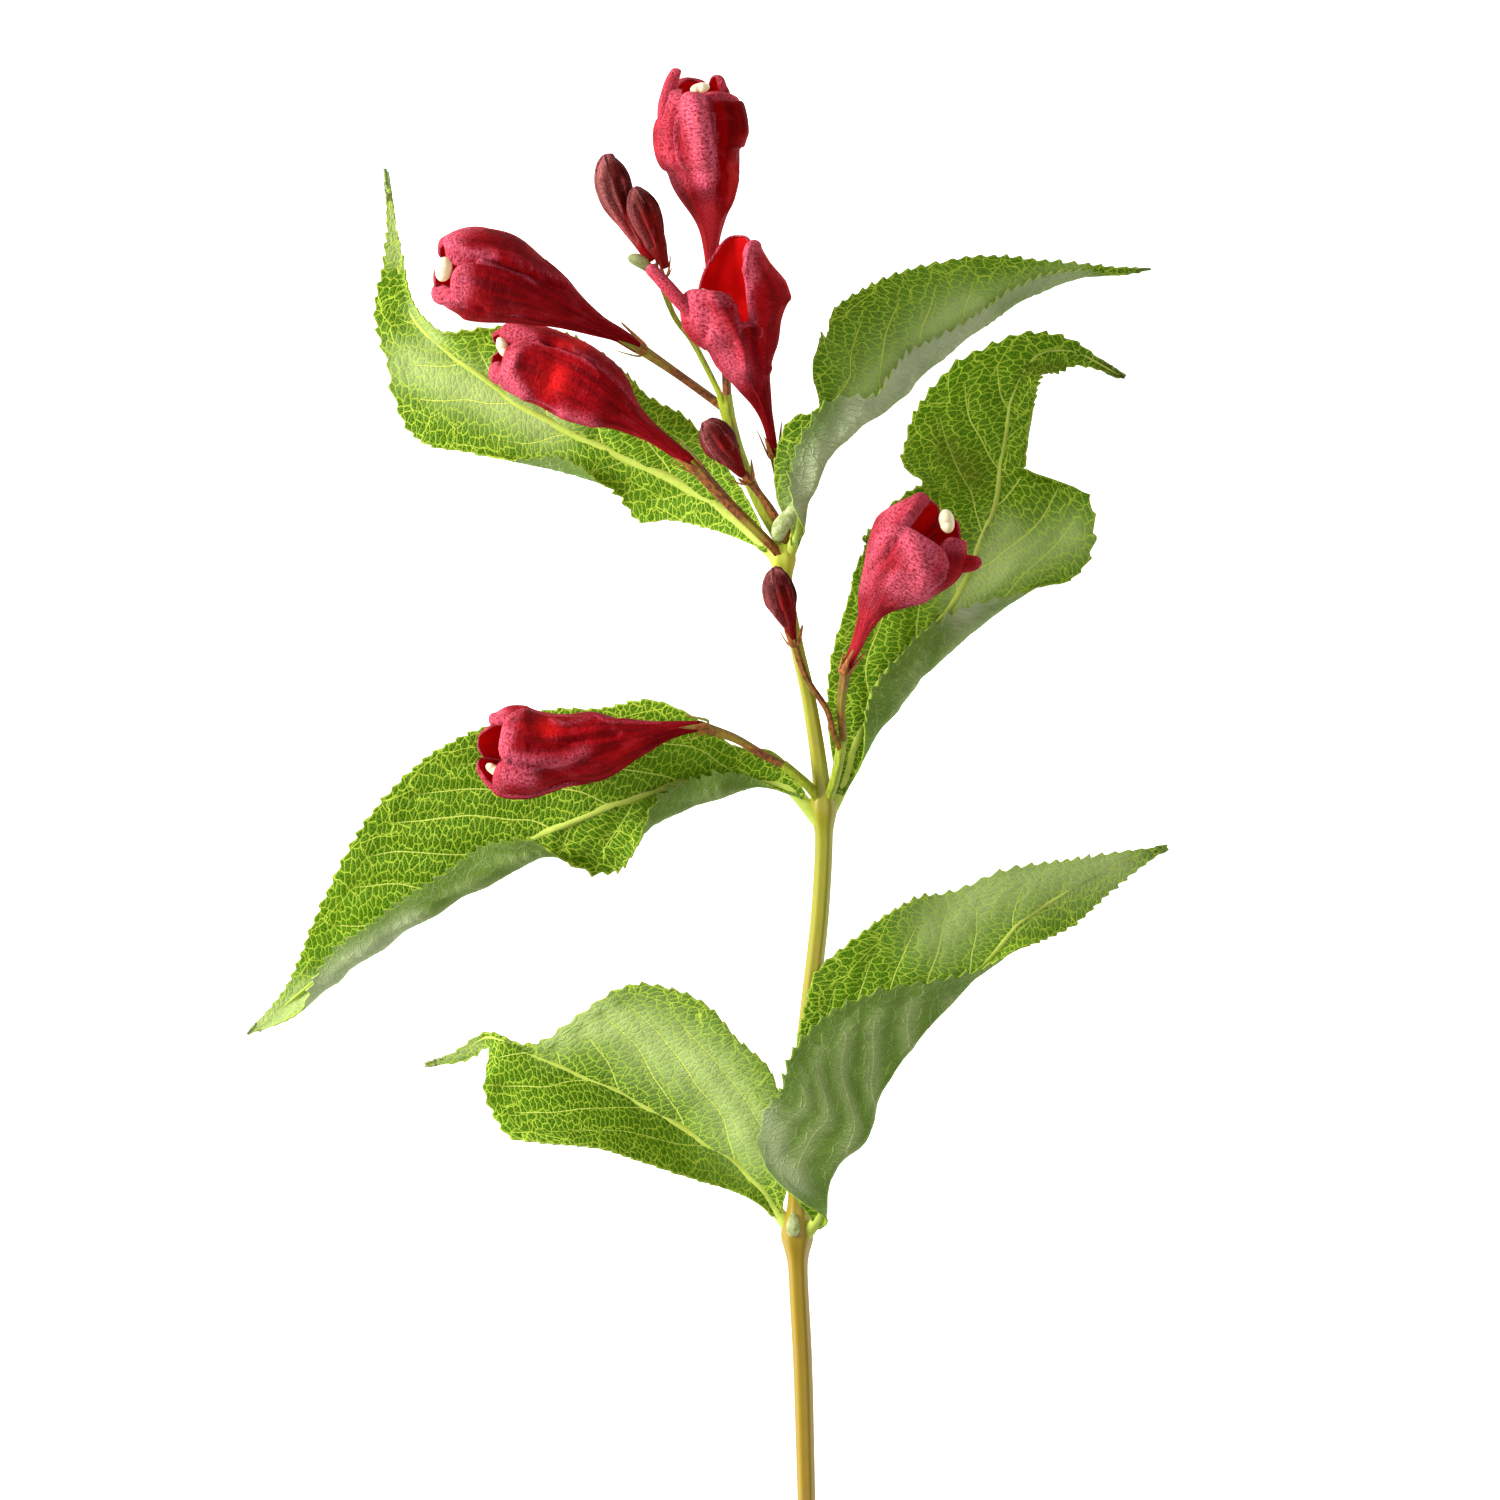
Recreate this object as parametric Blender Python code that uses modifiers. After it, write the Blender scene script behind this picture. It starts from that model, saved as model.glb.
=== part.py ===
"""A cut flowering sprig of red weigela, lying on its leaves.

One upright shoot with three pairs of opposite leaves. Long-stalked blooms and
buds stand in the leaf axils and on a small cluster at the top. The shoot runs
along +Y from its cut end, and lies with its leaves resting on the ground.
Sizes are written in millimetres in the tables and turned to metres by MM.
"""
import math

import bmesh
import bpy
import numpy as np

MM = 0.001                # one millimetre, in metres
ORIGIN = (0.14, -0.15, 0.07)  # mm, the point under the middle of the sprig's box
LEAF_THICKNESS = 0.95     # mm, over a hundredth of the longest leaf
LEAF_STATIONS = 24        # cross-sections from leaf base to tip
LEAF_HALF = 5             # strips from midrib to margin
BLOOM_SIDES = 16
BLOOM_RINGS = 14
TWIG_RESOLUTION = 2

for old in list(bpy.data.objects):
    bpy.data.objects.remove(old, do_unlink=True)

SPRIG = bpy.data.collections.new("weigela_sprig")
bpy.context.scene.collection.children.link(SPRIG)


def material(name, colour, roughness):
    """A plain dielectric in the part's own colour."""
    made = bpy.data.materials.new(name)
    made.use_nodes = True
    shader = made.node_tree.nodes["Principled BSDF"]
    shader.inputs["Base Color"].default_value = (*colour, 1.0)
    shader.inputs["Roughness"].default_value = roughness
    shader.inputs["Metallic"].default_value = 0.0
    return made


GREEN_LEAF = material("leaf_green", (0.10, 0.24, 0.03), 0.45)
STEM_BARK = material("young_bark", (0.42, 0.36, 0.07), 0.5)
GREEN_STALK = material("green_stalk", (0.36, 0.42, 0.06), 0.5)
RED_STALK = material("red_stalk", (0.22, 0.10, 0.05), 0.5)
RED_PETAL = material("crimson_petal", (0.50, 0.02, 0.04), 0.55)
MAROON_BUD = material("maroon_bud", (0.15, 0.03, 0.05), 0.6)


def smooth(rows, at):
    """Smooth curve through rows (t, a, b, ...), read at each value of t."""
    rows = np.asarray(rows, float)
    x, y = rows[:, 0], rows[:, 1:]
    at = np.clip(np.asarray(at, float), x[0], x[-1])
    step = np.diff(x)[:, None]
    rise = np.diff(y, axis=0) / step
    slope = np.empty_like(y)
    slope[0], slope[-1] = rise[0], rise[-1]
    slope[1:-1] = (rise[:-1] * step[1:] + rise[1:] * step[:-1]) / (step[1:] + step[:-1])
    i = np.clip(np.searchsorted(x, at, side="right") - 1, 0, len(x) - 2)
    h = step[i]
    u = (at - x[i])[:, None] / h
    start = (2 * u**3 - 3 * u**2 + 1) * y[i] + (u**3 - 2 * u**2 + u) * h * slope[i]
    return start + (3 * u**2 - 2 * u**3) * y[i + 1] + (u**3 - u**2) * h * slope[i + 1]


def along(rows, count):
    """Rows (x, y, z, ...) read at even steps of length along their curve."""
    rows = np.asarray(rows, float)
    chord = np.linalg.norm(np.diff(rows[:, :3], axis=0), axis=1) ** 0.5
    knots = np.concatenate([[0.0], np.cumsum(chord)])
    fine = smooth(np.column_stack([knots, rows]), np.linspace(0, knots[-1], 1200))
    run = np.linalg.norm(np.diff(fine[:, :3], axis=0), axis=1)
    run = np.concatenate([[0.0], np.cumsum(run)])
    even = np.linspace(0, run[-1], count)
    return np.column_stack([np.interp(even, run, column) for column in fine.T])


def frames(line):
    """Forward, sideways (level, to the left) and upward directions along a line."""
    forward = np.gradient(line, axis=0)
    forward /= np.linalg.norm(forward, axis=1)[:, None]
    level = forward.copy()
    level[:, 2] = 0.0
    level /= np.maximum(np.linalg.norm(level, axis=1)[:, None], 1e-6)
    reach = max(3, len(line) // 16)
    padded = np.vstack([np.repeat(level[:1], reach, 0), level, np.repeat(level[-1:], reach, 0)])
    window = np.hanning(2 * reach + 1)
    window /= window.sum()
    level = np.column_stack([np.convolve(padded[:, k], window, "valid") for k in range(3)])
    side = np.cross([0.0, 0.0, 1.0], level)
    side -= forward * (side * forward).sum(1)[:, None]
    side /= np.linalg.norm(side, axis=1)[:, None]
    return forward, side, np.cross(forward, side)


def half_section(row, roll, strips):
    """One half of a leaf's cross-section, as (sideways, upward) from the midrib.

    row is the reach sideways, the slope of the blade in degrees, the angle
    that its margin is rolled to, and the breadth of the rolled-back strip.
    """
    reach, slope, fold, tuck = row
    start, end = math.radians(slope), math.radians(max(fold, slope))
    radius = min(roll, 0.9 * reach / max(1 - math.sin(start), 0.2))
    flat = reach - radius * (math.sin(min(end, math.pi / 2)) - math.sin(start))
    if end < math.pi / 2:
        flat -= tuck * math.cos(end)
    flat = max(flat / math.cos(start), 0.05)
    arc = radius * (end - start)
    total = flat + arc + tuck
    u = np.linspace(0, total, 161)
    middle = 0.5 * (u[1:] + u[:-1])
    angle = start + (end - start) * np.clip((middle - flat) / max(arc, 1e-6), 0, 1)
    across = np.concatenate([[0], np.cumsum(np.cos(angle))]) * total / 160
    up = np.concatenate([[0], np.cumsum(np.sin(angle))]) * total / 160
    turned = (end - start) * np.clip((u - flat) / max(arc, 1e-6), 0, 1)
    weight = u / total + 0.9 * turned / math.pi
    at = np.linspace(0, weight[-1], strips + 1)
    return np.interp(at, weight, across), np.interp(at, weight, up)


def leaf_points(midrib, left, right, roll, stations, strips):
    """Grid of points over a leaf blade, base to tip and right margin to left."""
    line = along(midrib, stations)
    _, side, up = frames(line)
    at = np.linspace(0, 1, stations)
    points = np.zeros((stations, 2 * strips + 1, 3))
    points[:, strips] = line
    for table, way in ((left, 1), (right, -1)):
        for i, row in enumerate(smooth(table, at)):
            across, rise = half_section(row, roll, strips)
            for j in range(1, strips + 1):
                points[i, strips + way * j] = line[i] + way * across[j] * side[i] + rise[j] * up[i]
    return points


def add_object(name, mesh, look):
    made = bpy.data.objects.new(name, mesh)
    made.data.materials.append(look)
    SPRIG.objects.link(made)
    return made


def leaf(name, midrib, left, right, roll):
    """A leaf blade: a grid laid along its midrib, given its thickness by Solidify."""
    points = leaf_points(midrib, left, right, roll, LEAF_STATIONS, LEAF_HALF)
    bm = bmesh.new()
    columns = 2 * LEAF_HALF
    bmesh.ops.create_grid(bm, x_segments=LEAF_STATIONS - 1, y_segments=columns, size=1.0)
    for vert in bm.verts:
        i = round((vert.co.x + 1) / 2 * (LEAF_STATIONS - 1))
        j = round((vert.co.y + 1) / 2 * columns)
        vert.co = (points[i, j] - ORIGIN) * MM
    mesh = bpy.data.meshes.new(name)
    bm.to_mesh(mesh)
    bm.free()
    blade = add_object(name, mesh, GREEN_LEAF)
    wall = blade.modifiers.new("thickness", "SOLIDIFY")
    wall.thickness = LEAF_THICKNESS * MM
    wall.offset = 0.0
    wall.use_even_offset = True
    wall.use_quality_normals = True
    mesh.shade_smooth()
    return blade


def bloom(name, rows, look, sides=BLOOM_SIDES, rings=BLOOM_RINGS):
    """A closed bloom or bud: a sphere drawn out along rows (x, y, z, half width, half depth)."""
    line = along(rows, rings + 1)
    _, side, up = frames(line[:, :3])
    bm = bmesh.new()
    bmesh.ops.create_uvsphere(bm, u_segments=sides, v_segments=rings, radius=1.0)
    for vert in bm.verts:
        ring = rings - round(math.acos(max(-1.0, min(1.0, vert.co.z))) / math.pi * rings)
        out = 0.0 if ring in (0, rings) else 1.0
        turn = math.atan2(vert.co.y, vert.co.x)
        spread = line[ring, 3] * math.cos(turn) * side[ring] * out
        lift = line[ring, 4] * math.sin(turn) * up[ring] * out
        vert.co = (line[ring, :3] + spread + lift - ORIGIN) * MM
    mesh = bpy.data.meshes.new(name)
    bm.to_mesh(mesh)
    bm.free()
    mesh.shade_smooth()
    return add_object(name, mesh, look)


def twig(name, rows, look, count, swellings=()):
    """A tapering stalk along rows (x, y, z, radius), with its joints swollen.

    Each swelling is the place of a joint along Y, its extra radius and its spread.
    """
    line = along(rows, count)
    if swellings:
        joints = [y + step * spread for y, _, spread in swellings for step in (-2, -1, 0, 1, 2)]
        ys = np.sort(np.concatenate([line[:, 1], joints]))
        ys = ys[(ys >= line[0, 1]) & (ys <= line[-1, 1])]
        ys = ys[np.concatenate([[True], np.diff(ys) > 0.35])]
        line = np.column_stack([np.interp(ys, line[:, 1], column) for column in line.T])
        for y, extra, spread in swellings:
            line[:, 3] += extra * np.exp(-0.5 * ((line[:, 1] - y) / spread) ** 2)
    data = bpy.data.curves.new(name, "CURVE")
    data.dimensions = "3D"
    data.bevel_depth = MM
    data.bevel_resolution = TWIG_RESOLUTION
    data.use_fill_caps = True
    spline = data.splines.new("POLY")
    spline.points.add(len(line) - 1)
    for point, row in zip(spline.points, line):
        point.co = (*((row[:3] - ORIGIN) * MM), 1.0)
        point.radius = row[3]
    spline.use_smooth = True
    return add_object(name, data, look)


# The main shoot: a flat cut at its lower end, three swollen joints, a slight zigzag.
twig("stem", [(14.2, -102, 1.25, 1.2), (13.6, -80, 5, 1.3), (12.7, -61, 9, 1.35),
              (13.2, -36.4, 12.2, 1.25), (15.5, -14, 15.3, 1.2), (16.2, -1.1, 17, 1.15),
              (14.8, 14, 19, 0.9), (12.2, 29.4, 21.3, 0.75), (11.1, 33.8, 22, 0.85),
              (10.5, 35.7, 22.2, 0.9)],
     STEM_BARK, 22, swellings=((-61, 1.25, 1.9), (-1.1, 0.8, 1.6), (33.8, 1.0, 1.5)))

# Stalks that carry the blooms: the top cluster's stalk and its bud branch,
# and a short stalk in each axil of the middle joint.
twig("cluster_stalk", [(10.3, 36.1, 22.2, 1.0), (7.7, 41.6, 22.6, 1.0), (5, 48, 23.3, 0.9),
                       (3.5, 53, 23.7, 0.95), (2.4, 55.8, 24, 1.15)], GREEN_STALK, 9)
twig("bud_branch", [(1.75, 56.9, 25.0, 0.42), (-2, 64.1, 25.6, 0.42), (-4.3, 67.2, 26.2, 0.4),
                    (-7, 74.1, 27.1, 0.45)], GREEN_STALK, 8)
twig("left_axil_stalk", [(14.5, 1.7, 18.9, 0.7), (12.6, 3.5, 19.9, 0.65), (11.2, 4.6, 20.3, 0.7)],
     GREEN_STALK, 4)
twig("right_axil_stalk", [(17.7, 2.0, 18.8, 0.7), (18.4, 4.8, 19.8, 0.7), (18.9, 7.8, 20.5, 0.8)],
     GREEN_STALK, 5)

# Leaves. Each table row of a side is: place from base to tip, reach, slope,
# angle of the rolled margin, breadth rolled back (mm and degrees).
leaf("leaf_lower_left",
     midrib=[(9.9, -58.2, 9.2), (8.2, -55.2, 9), (5, -52, 8), (-3, -46.5, 7), (-12, -41.3, 6.3),
             (-22, -37, 5.5), (-29, -33.8, 4), (-31.2, -33.6, 2.2), (-35, -36, 1), (-39.7, -37.4, 0.6)],
     left=[(0, .5, 30, 30, 0), (.1, 2, 40, 40, 0), (.25, 5, 50, 50, 0), (.45, 8, 50, 50, 0),
           (.62, 10.8, 40, 40, 0), (.72, 12, 30, 30, 0), (.78, 9, 30, 30, 0), (.83, 2.5, 10, 10, 0),
           (.9, 1.6, 0, 0, 0), (1, .3, 0, 0, 0)],
     right=[(0, .5, 20, 20, 0), (.1, 4.8, 28, 28, 0), (.2, 11.4, 25, 25, 0), (.3, 14.2, 22, 22, 0),
            (.43, 16.5, 20, 20, 0), (.53, 14.5, 20, 20, 0), (.62, 10, 20, 20, 0), (.72, 4, 20, 20, 0),
            (.8, 1.5, 20, 20, 0), (.9, 1.2, 10, 10, 0), (1, .3, 0, 0, 0)],
     roll=1.5)
leaf("leaf_lower_right",
     midrib=[(15.8, -60.2, 11), (16.2, -58, 12.2), (16.4, -55, 13.3), (17.5, -51, 14.3),
             (20, -47, 14.7), (25, -39, 15), (31, -31, 14.3), (40, -22, 11), (44.5, -17, 9),
             (50, -13.5, 6.5), (57, -9.7, 3.5), (65, -6.7, .8)],
     left=[(0, .6, 0, 0, 0), (.1, 5, 5, 5, 0), (.2, 9.5, 5, 5, 0), (.28, 11.5, 5, 5, 0),
           (.36, 15.8, 5, 5, 0), (.45, 15.5, 5, 5, 0), (.55, 14, 5, 5, 0), (.65, 10.5, 0, 0, 0),
           (.75, 6, 0, 0, 0), (.86, 2.6, 0, 0, 0), (1, .3, 0, 0, 0)],
     right=[(0, .6, 0, 0, 0), (.05, .9, 0, 120, 2), (.1, 1, 0, 165, 7), (.2, 1.4, 0, 165, 11),
            (.3, 1.2, 0, 165, 12), (.4, 1, 0, 165, 8.5), (.5, 1, 0, 160, 3), (.58, 1, 0, 120, 1),
            (.66, 1.8, 0, 50, .8), (.74, 4, 0, 10, .5), (.82, 3.8, 0, 0, 0), (.9, 2.2, 0, 0, 0),
            (1, .3, 0, 0, 0)],
     roll=0.9)
leaf("leaf_middle_left",
     midrib=[(13.7, .7, 17.6), (10, 2.2, 16.7), (4, 3, 15.5), (-5.2, 1.8, 13.5), (-14, -1.1, 12),
             (-22.9, -4.8, 10.5), (-31, -8.6, 9.3), (-40, -13.5, 7.8), (-49, -20, 5.3),
             (-57, -27, 2.6), (-64.7, -33.1, .7)],
     left=[(0, .5, 0, 0, 0), (.08, 1.6, 0, 150, 3), (.15, 2.9, 0, 165, 4.5), (.22, 3.5, 0, 160, 4),
           (.28, 5, -10, 90, 2.5), (.34, 8.2, -15, 10, 1), (.38, 6.5, -15, 20, 1),
           (.44, 2.7, 0, 120, 3), (.55, 2.4, 0, 165, 4.5), (.7, 2.7, 0, 165, 3),
           (.85, 1.8, 0, 150, 1.5), (1, .3, 0, 0, 0)],
     right=[(0, .5, 0, 0, 0), (.07, 3.5, 20, 20, 0), (.14, 4.5, 25, 25, 0), (.2, 11.5, 15, 15, 0),
            (.27, 12.7, 8, 8, 0), (.35, 15.2, 6, 6, 0), (.5, 16.2, 6, 6, 0), (.6, 14.8, 6, 6, 0),
            (.7, 10.5, 5, 5, 0), (.8, 5.7, 5, 5, 0), (.9, 1.9, 5, 5, 0), (1, .3, 0, 0, 0)],
     roll=2.3)
leaf("leaf_middle_right",
     midrib=[(18.9, .8, 17), (19.8, 3.5, 16), (21.8, 10, 14.5), (24.8, 17, 13), (30, 22.5, 12),
             (35, 28, 11), (38, 35, 10.5), (40.5, 41.7, 10), (42, 51, 8.8), (43.7, 58.5, 6.5),
             (46.5, 62.3, 4.5), (51, 63.3, 2.6), (59, 59.5, .7)],
     left=[(0, .5, 0, 0, 0), (.1, 3.8, 0, 0, 0), (.2, 7, 0, 0, 0), (.3, 11.8, 0, 0, 0),
           (.4, 15, 0, 0, 0), (.48, 14, 5, 5, 0), (.56, 11, 10, 10, 0), (.61, 10.5, 20, 20, 0),
           (.66, 13.4, 10, 10, 0), (.75, 11.5, 5, 5, 0), (.8, 5.8, 0, 0, 0), (.88, 2.2, 0, 0, 0),
           (1, .3, 0, 0, 0)],
     right=[(0, .5, 0, 0, 0), (.08, 1.0, 0, 120, 1), (.15, 2.8, 0, 165, 3.5), (.25, 4.6, 0, 165, 5),
            (.33, 4.2, 0, 165, 4.5), (.4, 4.8, 0, 150, 3), (.46, 7.5, 0, 80, 2), (.52, 13, 0, 20, 1),
            (.57, 14.8, 0, 10, 1), (.61, 12, 5, 30, 1), (.65, 3.5, 10, 90, 2), (.75, 3, 10, 60, 1),
            (.82, 2, 0, 20, .5), (.9, 2, 0, 0, 0), (1, .3, 0, 0, 0)],
     roll=2.2)
leaf("leaf_upper_left",
     midrib=[(8.5, 35.1, 21.2), (5, 38.5, 18.5), (1, 41.5, 16.5), (-4, 44.5, 14.8),
             (-10, 47.3, 13.5), (-18, 51, 12.2), (-26, 55.3, 10.8), (-33, 60.5, 9),
             (-38.5, 64.7, 7), (-42, 69.5, 4.8), (-43.7, 77, 2.6), (-45.2, 89, .7)],
     left=[(0, .5, 0, 0, 0), (.1, 2.2, -10, -10, 0), (.18, 4.5, -10, -10, 0), (.25, 6.6, -10, -10, 0),
           (.3, 4.5, -10, 60, 1), (.38, 4.1, 0, 160, 2), (.45, 5.4, 0, 150, 1.5), (.52, 8.5, 0, 30, .5),
           (.6, 11.7, 0, 0, 0), (.66, 11, 0, 0, 0), (.72, 6.5, 0, 0, 0), (.8, 3, 0, 0, 0),
           (.9, .9, 0, 0, 0), (1, .3, 0, 0, 0)],
     right=[(0, .5, 0, 0, 0), (.1, 3.6, 10, 10, 0), (.2, 6.3, 10, 10, 0), (.3, 8.8, 5, 5, 0),
            (.42, 12, 0, 0, 0), (.52, 11.3, 0, 0, 0), (.6, 8, 10, 20, 0), (.66, 3.5, 20, 60, .5),
            (.72, 1.5, 20, 70, .5), (.8, 1.3, 20, 60, .3), (.9, .7, 10, 10, 0), (1, .3, 0, 0, 0)],
     roll=1.5)
leaf("leaf_upper_right",
     midrib=[(12.4, 35.5, 24), (13.1, 38.3, 25.4), (13.6, 41.5, 27), (15.2, 45.5, 28.3),
             (17.2, 49, 28.3), (20.5, 52.3, 27.2), (24.8, 55, 25), (31, 61, 20.5), (37, 66, 15.5),
             (43, 70.3, 10.8), (51, 73.3, 5.5), (62.8, 74.3, .8)],
     left=[(0, .5, 0, 0, 0), (.08, 1.5, 0, 0, 0), (.2, 5, 0, 0, 0), (.27, 7.5, 0, 0, 0),
           (.33, 12, -5, -5, 0), (.4, 12.2, -5, -5, 0), (.46, 14.7, -5, -5, 0), (.55, 12.8, -3, -3, 0),
           (.65, 10, 0, 0, 0), (.72, 6.2, 0, 0, 0), (.8, 3, 0, 0, 0), (.9, .9, 0, 0, 0), (1, .3, 0, 0, 0)],
     right=[(0, .5, 0, 0, 0), (.07, .7, 0, 130, 2), (.12, .8, 0, 160, 4.5), (.2, .8, 0, 165, 7),
            (.26, .8, 0, 165, 7), (.32, .8, 0, 160, 2.5), (.38, .8, 0, 160, 2.5), (.46, .8, 0, 165, 4.5),
            (.54, .8, 0, 165, 3.3), (.64, .8, 0, 160, 1.5), (.72, .8, 0, 160, 2), (.85, .7, 0, 140, 1),
            (1, .3, 0, 0, 0)],
     roll=1.0)

# Each bloom stands on its long thin ovary, which looks like a stalk.
# A bloom's rows are the middle of each section, its half width and half depth.
twig("ovary_top", [(2.8, 56.6, 23.4, .7), (2.6, 62, 22, .7), (1.8, 67, 21.4, .8), (1.2, 71.6, 21.4, .95)],
     RED_STALK, 7)
bloom("bloom_top", [(1.1, 72, 21.5, 1.0, 1.0), (1, 75, 21.8, 1.8, 1.8), (.8, 79, 22.2, 2.1, 2.1),
                    (.4, 83.4, 23, 3.6, 3.4), (-.1, 86.8, 23.6, 5.1, 4.6), (-.3, 91, 24, 6.9, 5.6),
                    (-.2, 95, 24.2, 6.9, 5.8), (-.2, 99, 24.3, 5.2, 4.6), (-.6, 101.9, 24.3, 3, 3)],
      RED_PETAL)
twig("ovary_front", [(11.4, 38.3, 22.9, .75), (11, 41, 23.2, .8), (10.1, 45.5, 24.4, .85),
                     (9.2, 51.6, 25.9, 1.0)], RED_STALK, 8)
bloom("bloom_front", [(9.1, 52, 26.1, 1.0, 1.0), (7.9, 55, 27.5, 1.6, 1.6), (6.2, 59.5, 29.5, 3.5, 3.2),
                      (4.6, 64, 31.5, 5.9, 4.8), (3.2, 68.5, 33, 7.9, 5.6), (2.8, 72, 33.6, 8.4, 5),
                      (4.4, 75.5, 34, 4.7, 4), (5, 79.7, 34, 2.5, 2)], RED_PETAL)
twig("ovary_upper_left", [(.5, 56.6, 23.7, .8), (-4.2, 60.2, 25.4, .8), (-9.2, 63.5, 26.3, .95)],
     RED_STALK, 6)
bloom("bloom_upper_left", [(-9.5, 63.7, 26.4, 1.0, 1.0), (-12, 65.5, 27.4, 1.5, 1.5),
                           (-15, 67, 28.8, 2.3, 2.2), (-19, 69, 30.6, 4, 3.6), (-22, 70.6, 32, 5.1, 4.6),
                           (-26, 72.3, 33.3, 6, 5.4), (-30, 73.5, 34.5, 6.5, 5.6), (-33, 74, 35.2, 6.3, 5.2),
                           (-36, 74.2, 35.8, 5, 4.4), (-38.8, 73.5, 36, 3, 3)], RED_PETAL)
twig("ovary_left", [(8.7, 35.8, 23.9, .75), (3, 41.5, 24, .85), (-1.7, 46.7, 23.8, 1.0)], RED_STALK, 7)
bloom("bloom_left", [(-2, 47, 23.8, 1.0, 1.0), (-5, 49.3, 23.6, 1.4, 1.4), (-8, 51.8, 23.4, 2.3, 2.2),
                     (-12, 55, 23.2, 3.9, 3.5), (-17, 57.5, 23, 5.8, 4.8), (-21, 59.7, 22.8, 5.7, 4.8),
                     (-25, 61.4, 22.6, 5.3, 4.6), (-28.5, 62.2, 22.5, 4.1, 3.8),
                     (-30.8, 61.9, 22.4, 2.5, 2.5)], RED_PETAL)
twig("ovary_right", [(19.2, 8.5, 20.8, .75), (18.8, 13, 21.9, .8), (19.5, 18.4, 22.6, 1.0)],
     RED_STALK, 6)
bloom("bloom_right", [(19.7, 18.8, 22.6, 1.0, 1.0), (21.5, 23, 23, 1.8, 1.8), (24, 28, 24, 3.2, 3),
                      (26.6, 31.8, 25.3, 5.6, 4.7), (29.6, 35.6, 26.6, 6.9, 5.5),
                      (32, 38.6, 27.6, 5.4, 4.6), (33.8, 41.4, 28, 3, 3)], RED_PETAL)
twig("ovary_middle_left", [(10.7, 4.9, 20.5, .7), (8, 6.2, 20.9, .75), (4, 8.5, 21.2, .8),
                           (-.4, 10.1, 21.5, .9)], RED_STALK, 7)
bloom("bloom_middle_left", [(-.8, 10.2, 21.5, .9, .9), (-4, 10, 21.8, 1.3, 1.3), (-8, 9.3, 22, 2.4, 2.3),
                            (-11, 8.2, 22.2, 3.7, 3.3), (-15, 7.5, 22.4, 5, 4.3), (-20, 7, 22.6, 5.3, 4.6),
                            (-25, 6.7, 22.7, 6.3, 5.2), (-28.5, 7, 22.8, 5.6, 4.8),
                            (-31.6, 7.5, 22.8, 3, 3)], RED_PETAL)

# Buds, each on its own thin stalk.
bloom("bud_tip", [(-7.5, 74.5, 27.2, .6, .6), (-8.6, 75.8, 27.6, .8, .8), (-10.4, 79.3, 28.2, 1.7, 1.7), (-12, 83, 28.6, 2.5, 2.5),
                  (-13.2, 86.5, 28.9, 2.75, 2.7), (-14, 89.5, 29, 1.5, 1.5)], MAROON_BUD, 12, 10)
bloom("bud_second", [(-5.6, 73.2, 28.0, .7, .7), (-5.9, 77, 30.6, 1.7, 1.7), (-7.5, 80.5, 32.1, 2.4, 2.4),
                     (-8.7, 83, 32.5, 2.4, 2.4), (-9.1, 84.5, 32.6, 1.5, 1.5)], MAROON_BUD, 12, 10)
twig("bud_stalk_small", [(9.5, 39.9, 24.8, .6), (7.5, 42.6, 25.1, .55), (5.6, 45, 25.4, .65)],
     RED_STALK, 4)
bloom("bud_small", [(5.4, 45.3, 25.4, .7, .7), (4.1, 46.8, 26.5, 1.7, 1.7), (2.5, 48.6, 27.1, 2.7, 2.6),
                    (.8, 50.8, 27.3, 2.9, 2.7), (-.7, 52.9, 27.3, 1.6, 1.6)], MAROON_BUD, 12, 10)
twig("bud_stalk_stem", [(17.6, 9.3, 21.9, .5), (17, 12.5, 22.5, .5), (14.3, 17, 23.4, .5),
                        (12.8, 22.2, 24.1, .65)], RED_STALK, 7)
bloom("bud_stem", [(12.7, 22.6, 24.1, .7, .7), (12.1, 25.5, 24.8, 1.7, 1.7), (10.9, 28.3, 25.3, 2.35, 2.3),
                   (9.9, 30.5, 25.6, 2.1, 2.1), (9.1, 32.1, 25.7, 1.2, 1.2)], MAROON_BUD, 12, 10)
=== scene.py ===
import math

import bmesh
import bpy
import numpy as np
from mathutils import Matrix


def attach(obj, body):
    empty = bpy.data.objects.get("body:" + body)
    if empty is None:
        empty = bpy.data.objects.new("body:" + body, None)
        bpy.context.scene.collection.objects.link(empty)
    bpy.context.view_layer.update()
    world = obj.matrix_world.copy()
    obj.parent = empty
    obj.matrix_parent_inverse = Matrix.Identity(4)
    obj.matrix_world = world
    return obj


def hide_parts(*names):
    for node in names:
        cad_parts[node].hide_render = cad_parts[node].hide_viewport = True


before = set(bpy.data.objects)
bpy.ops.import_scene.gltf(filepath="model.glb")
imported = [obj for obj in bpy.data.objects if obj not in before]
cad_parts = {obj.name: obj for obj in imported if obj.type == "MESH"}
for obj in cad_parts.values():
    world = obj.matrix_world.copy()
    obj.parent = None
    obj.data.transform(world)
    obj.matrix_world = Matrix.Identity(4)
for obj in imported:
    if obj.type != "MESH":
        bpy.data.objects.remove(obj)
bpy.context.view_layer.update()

# ---------------------------------------------------------------------------
# The shoot: this year's growth of a weigela, about as thick as a pencil lead,
# faintly ribbed along its length and swollen where each pair of leaves joins
# it. It is cut flat across at its lower end.

MM = 0.001
MIDDLE = np.array([0.14, -0.15, 0.07])   # the ground point under the sprig's box, mm


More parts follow.
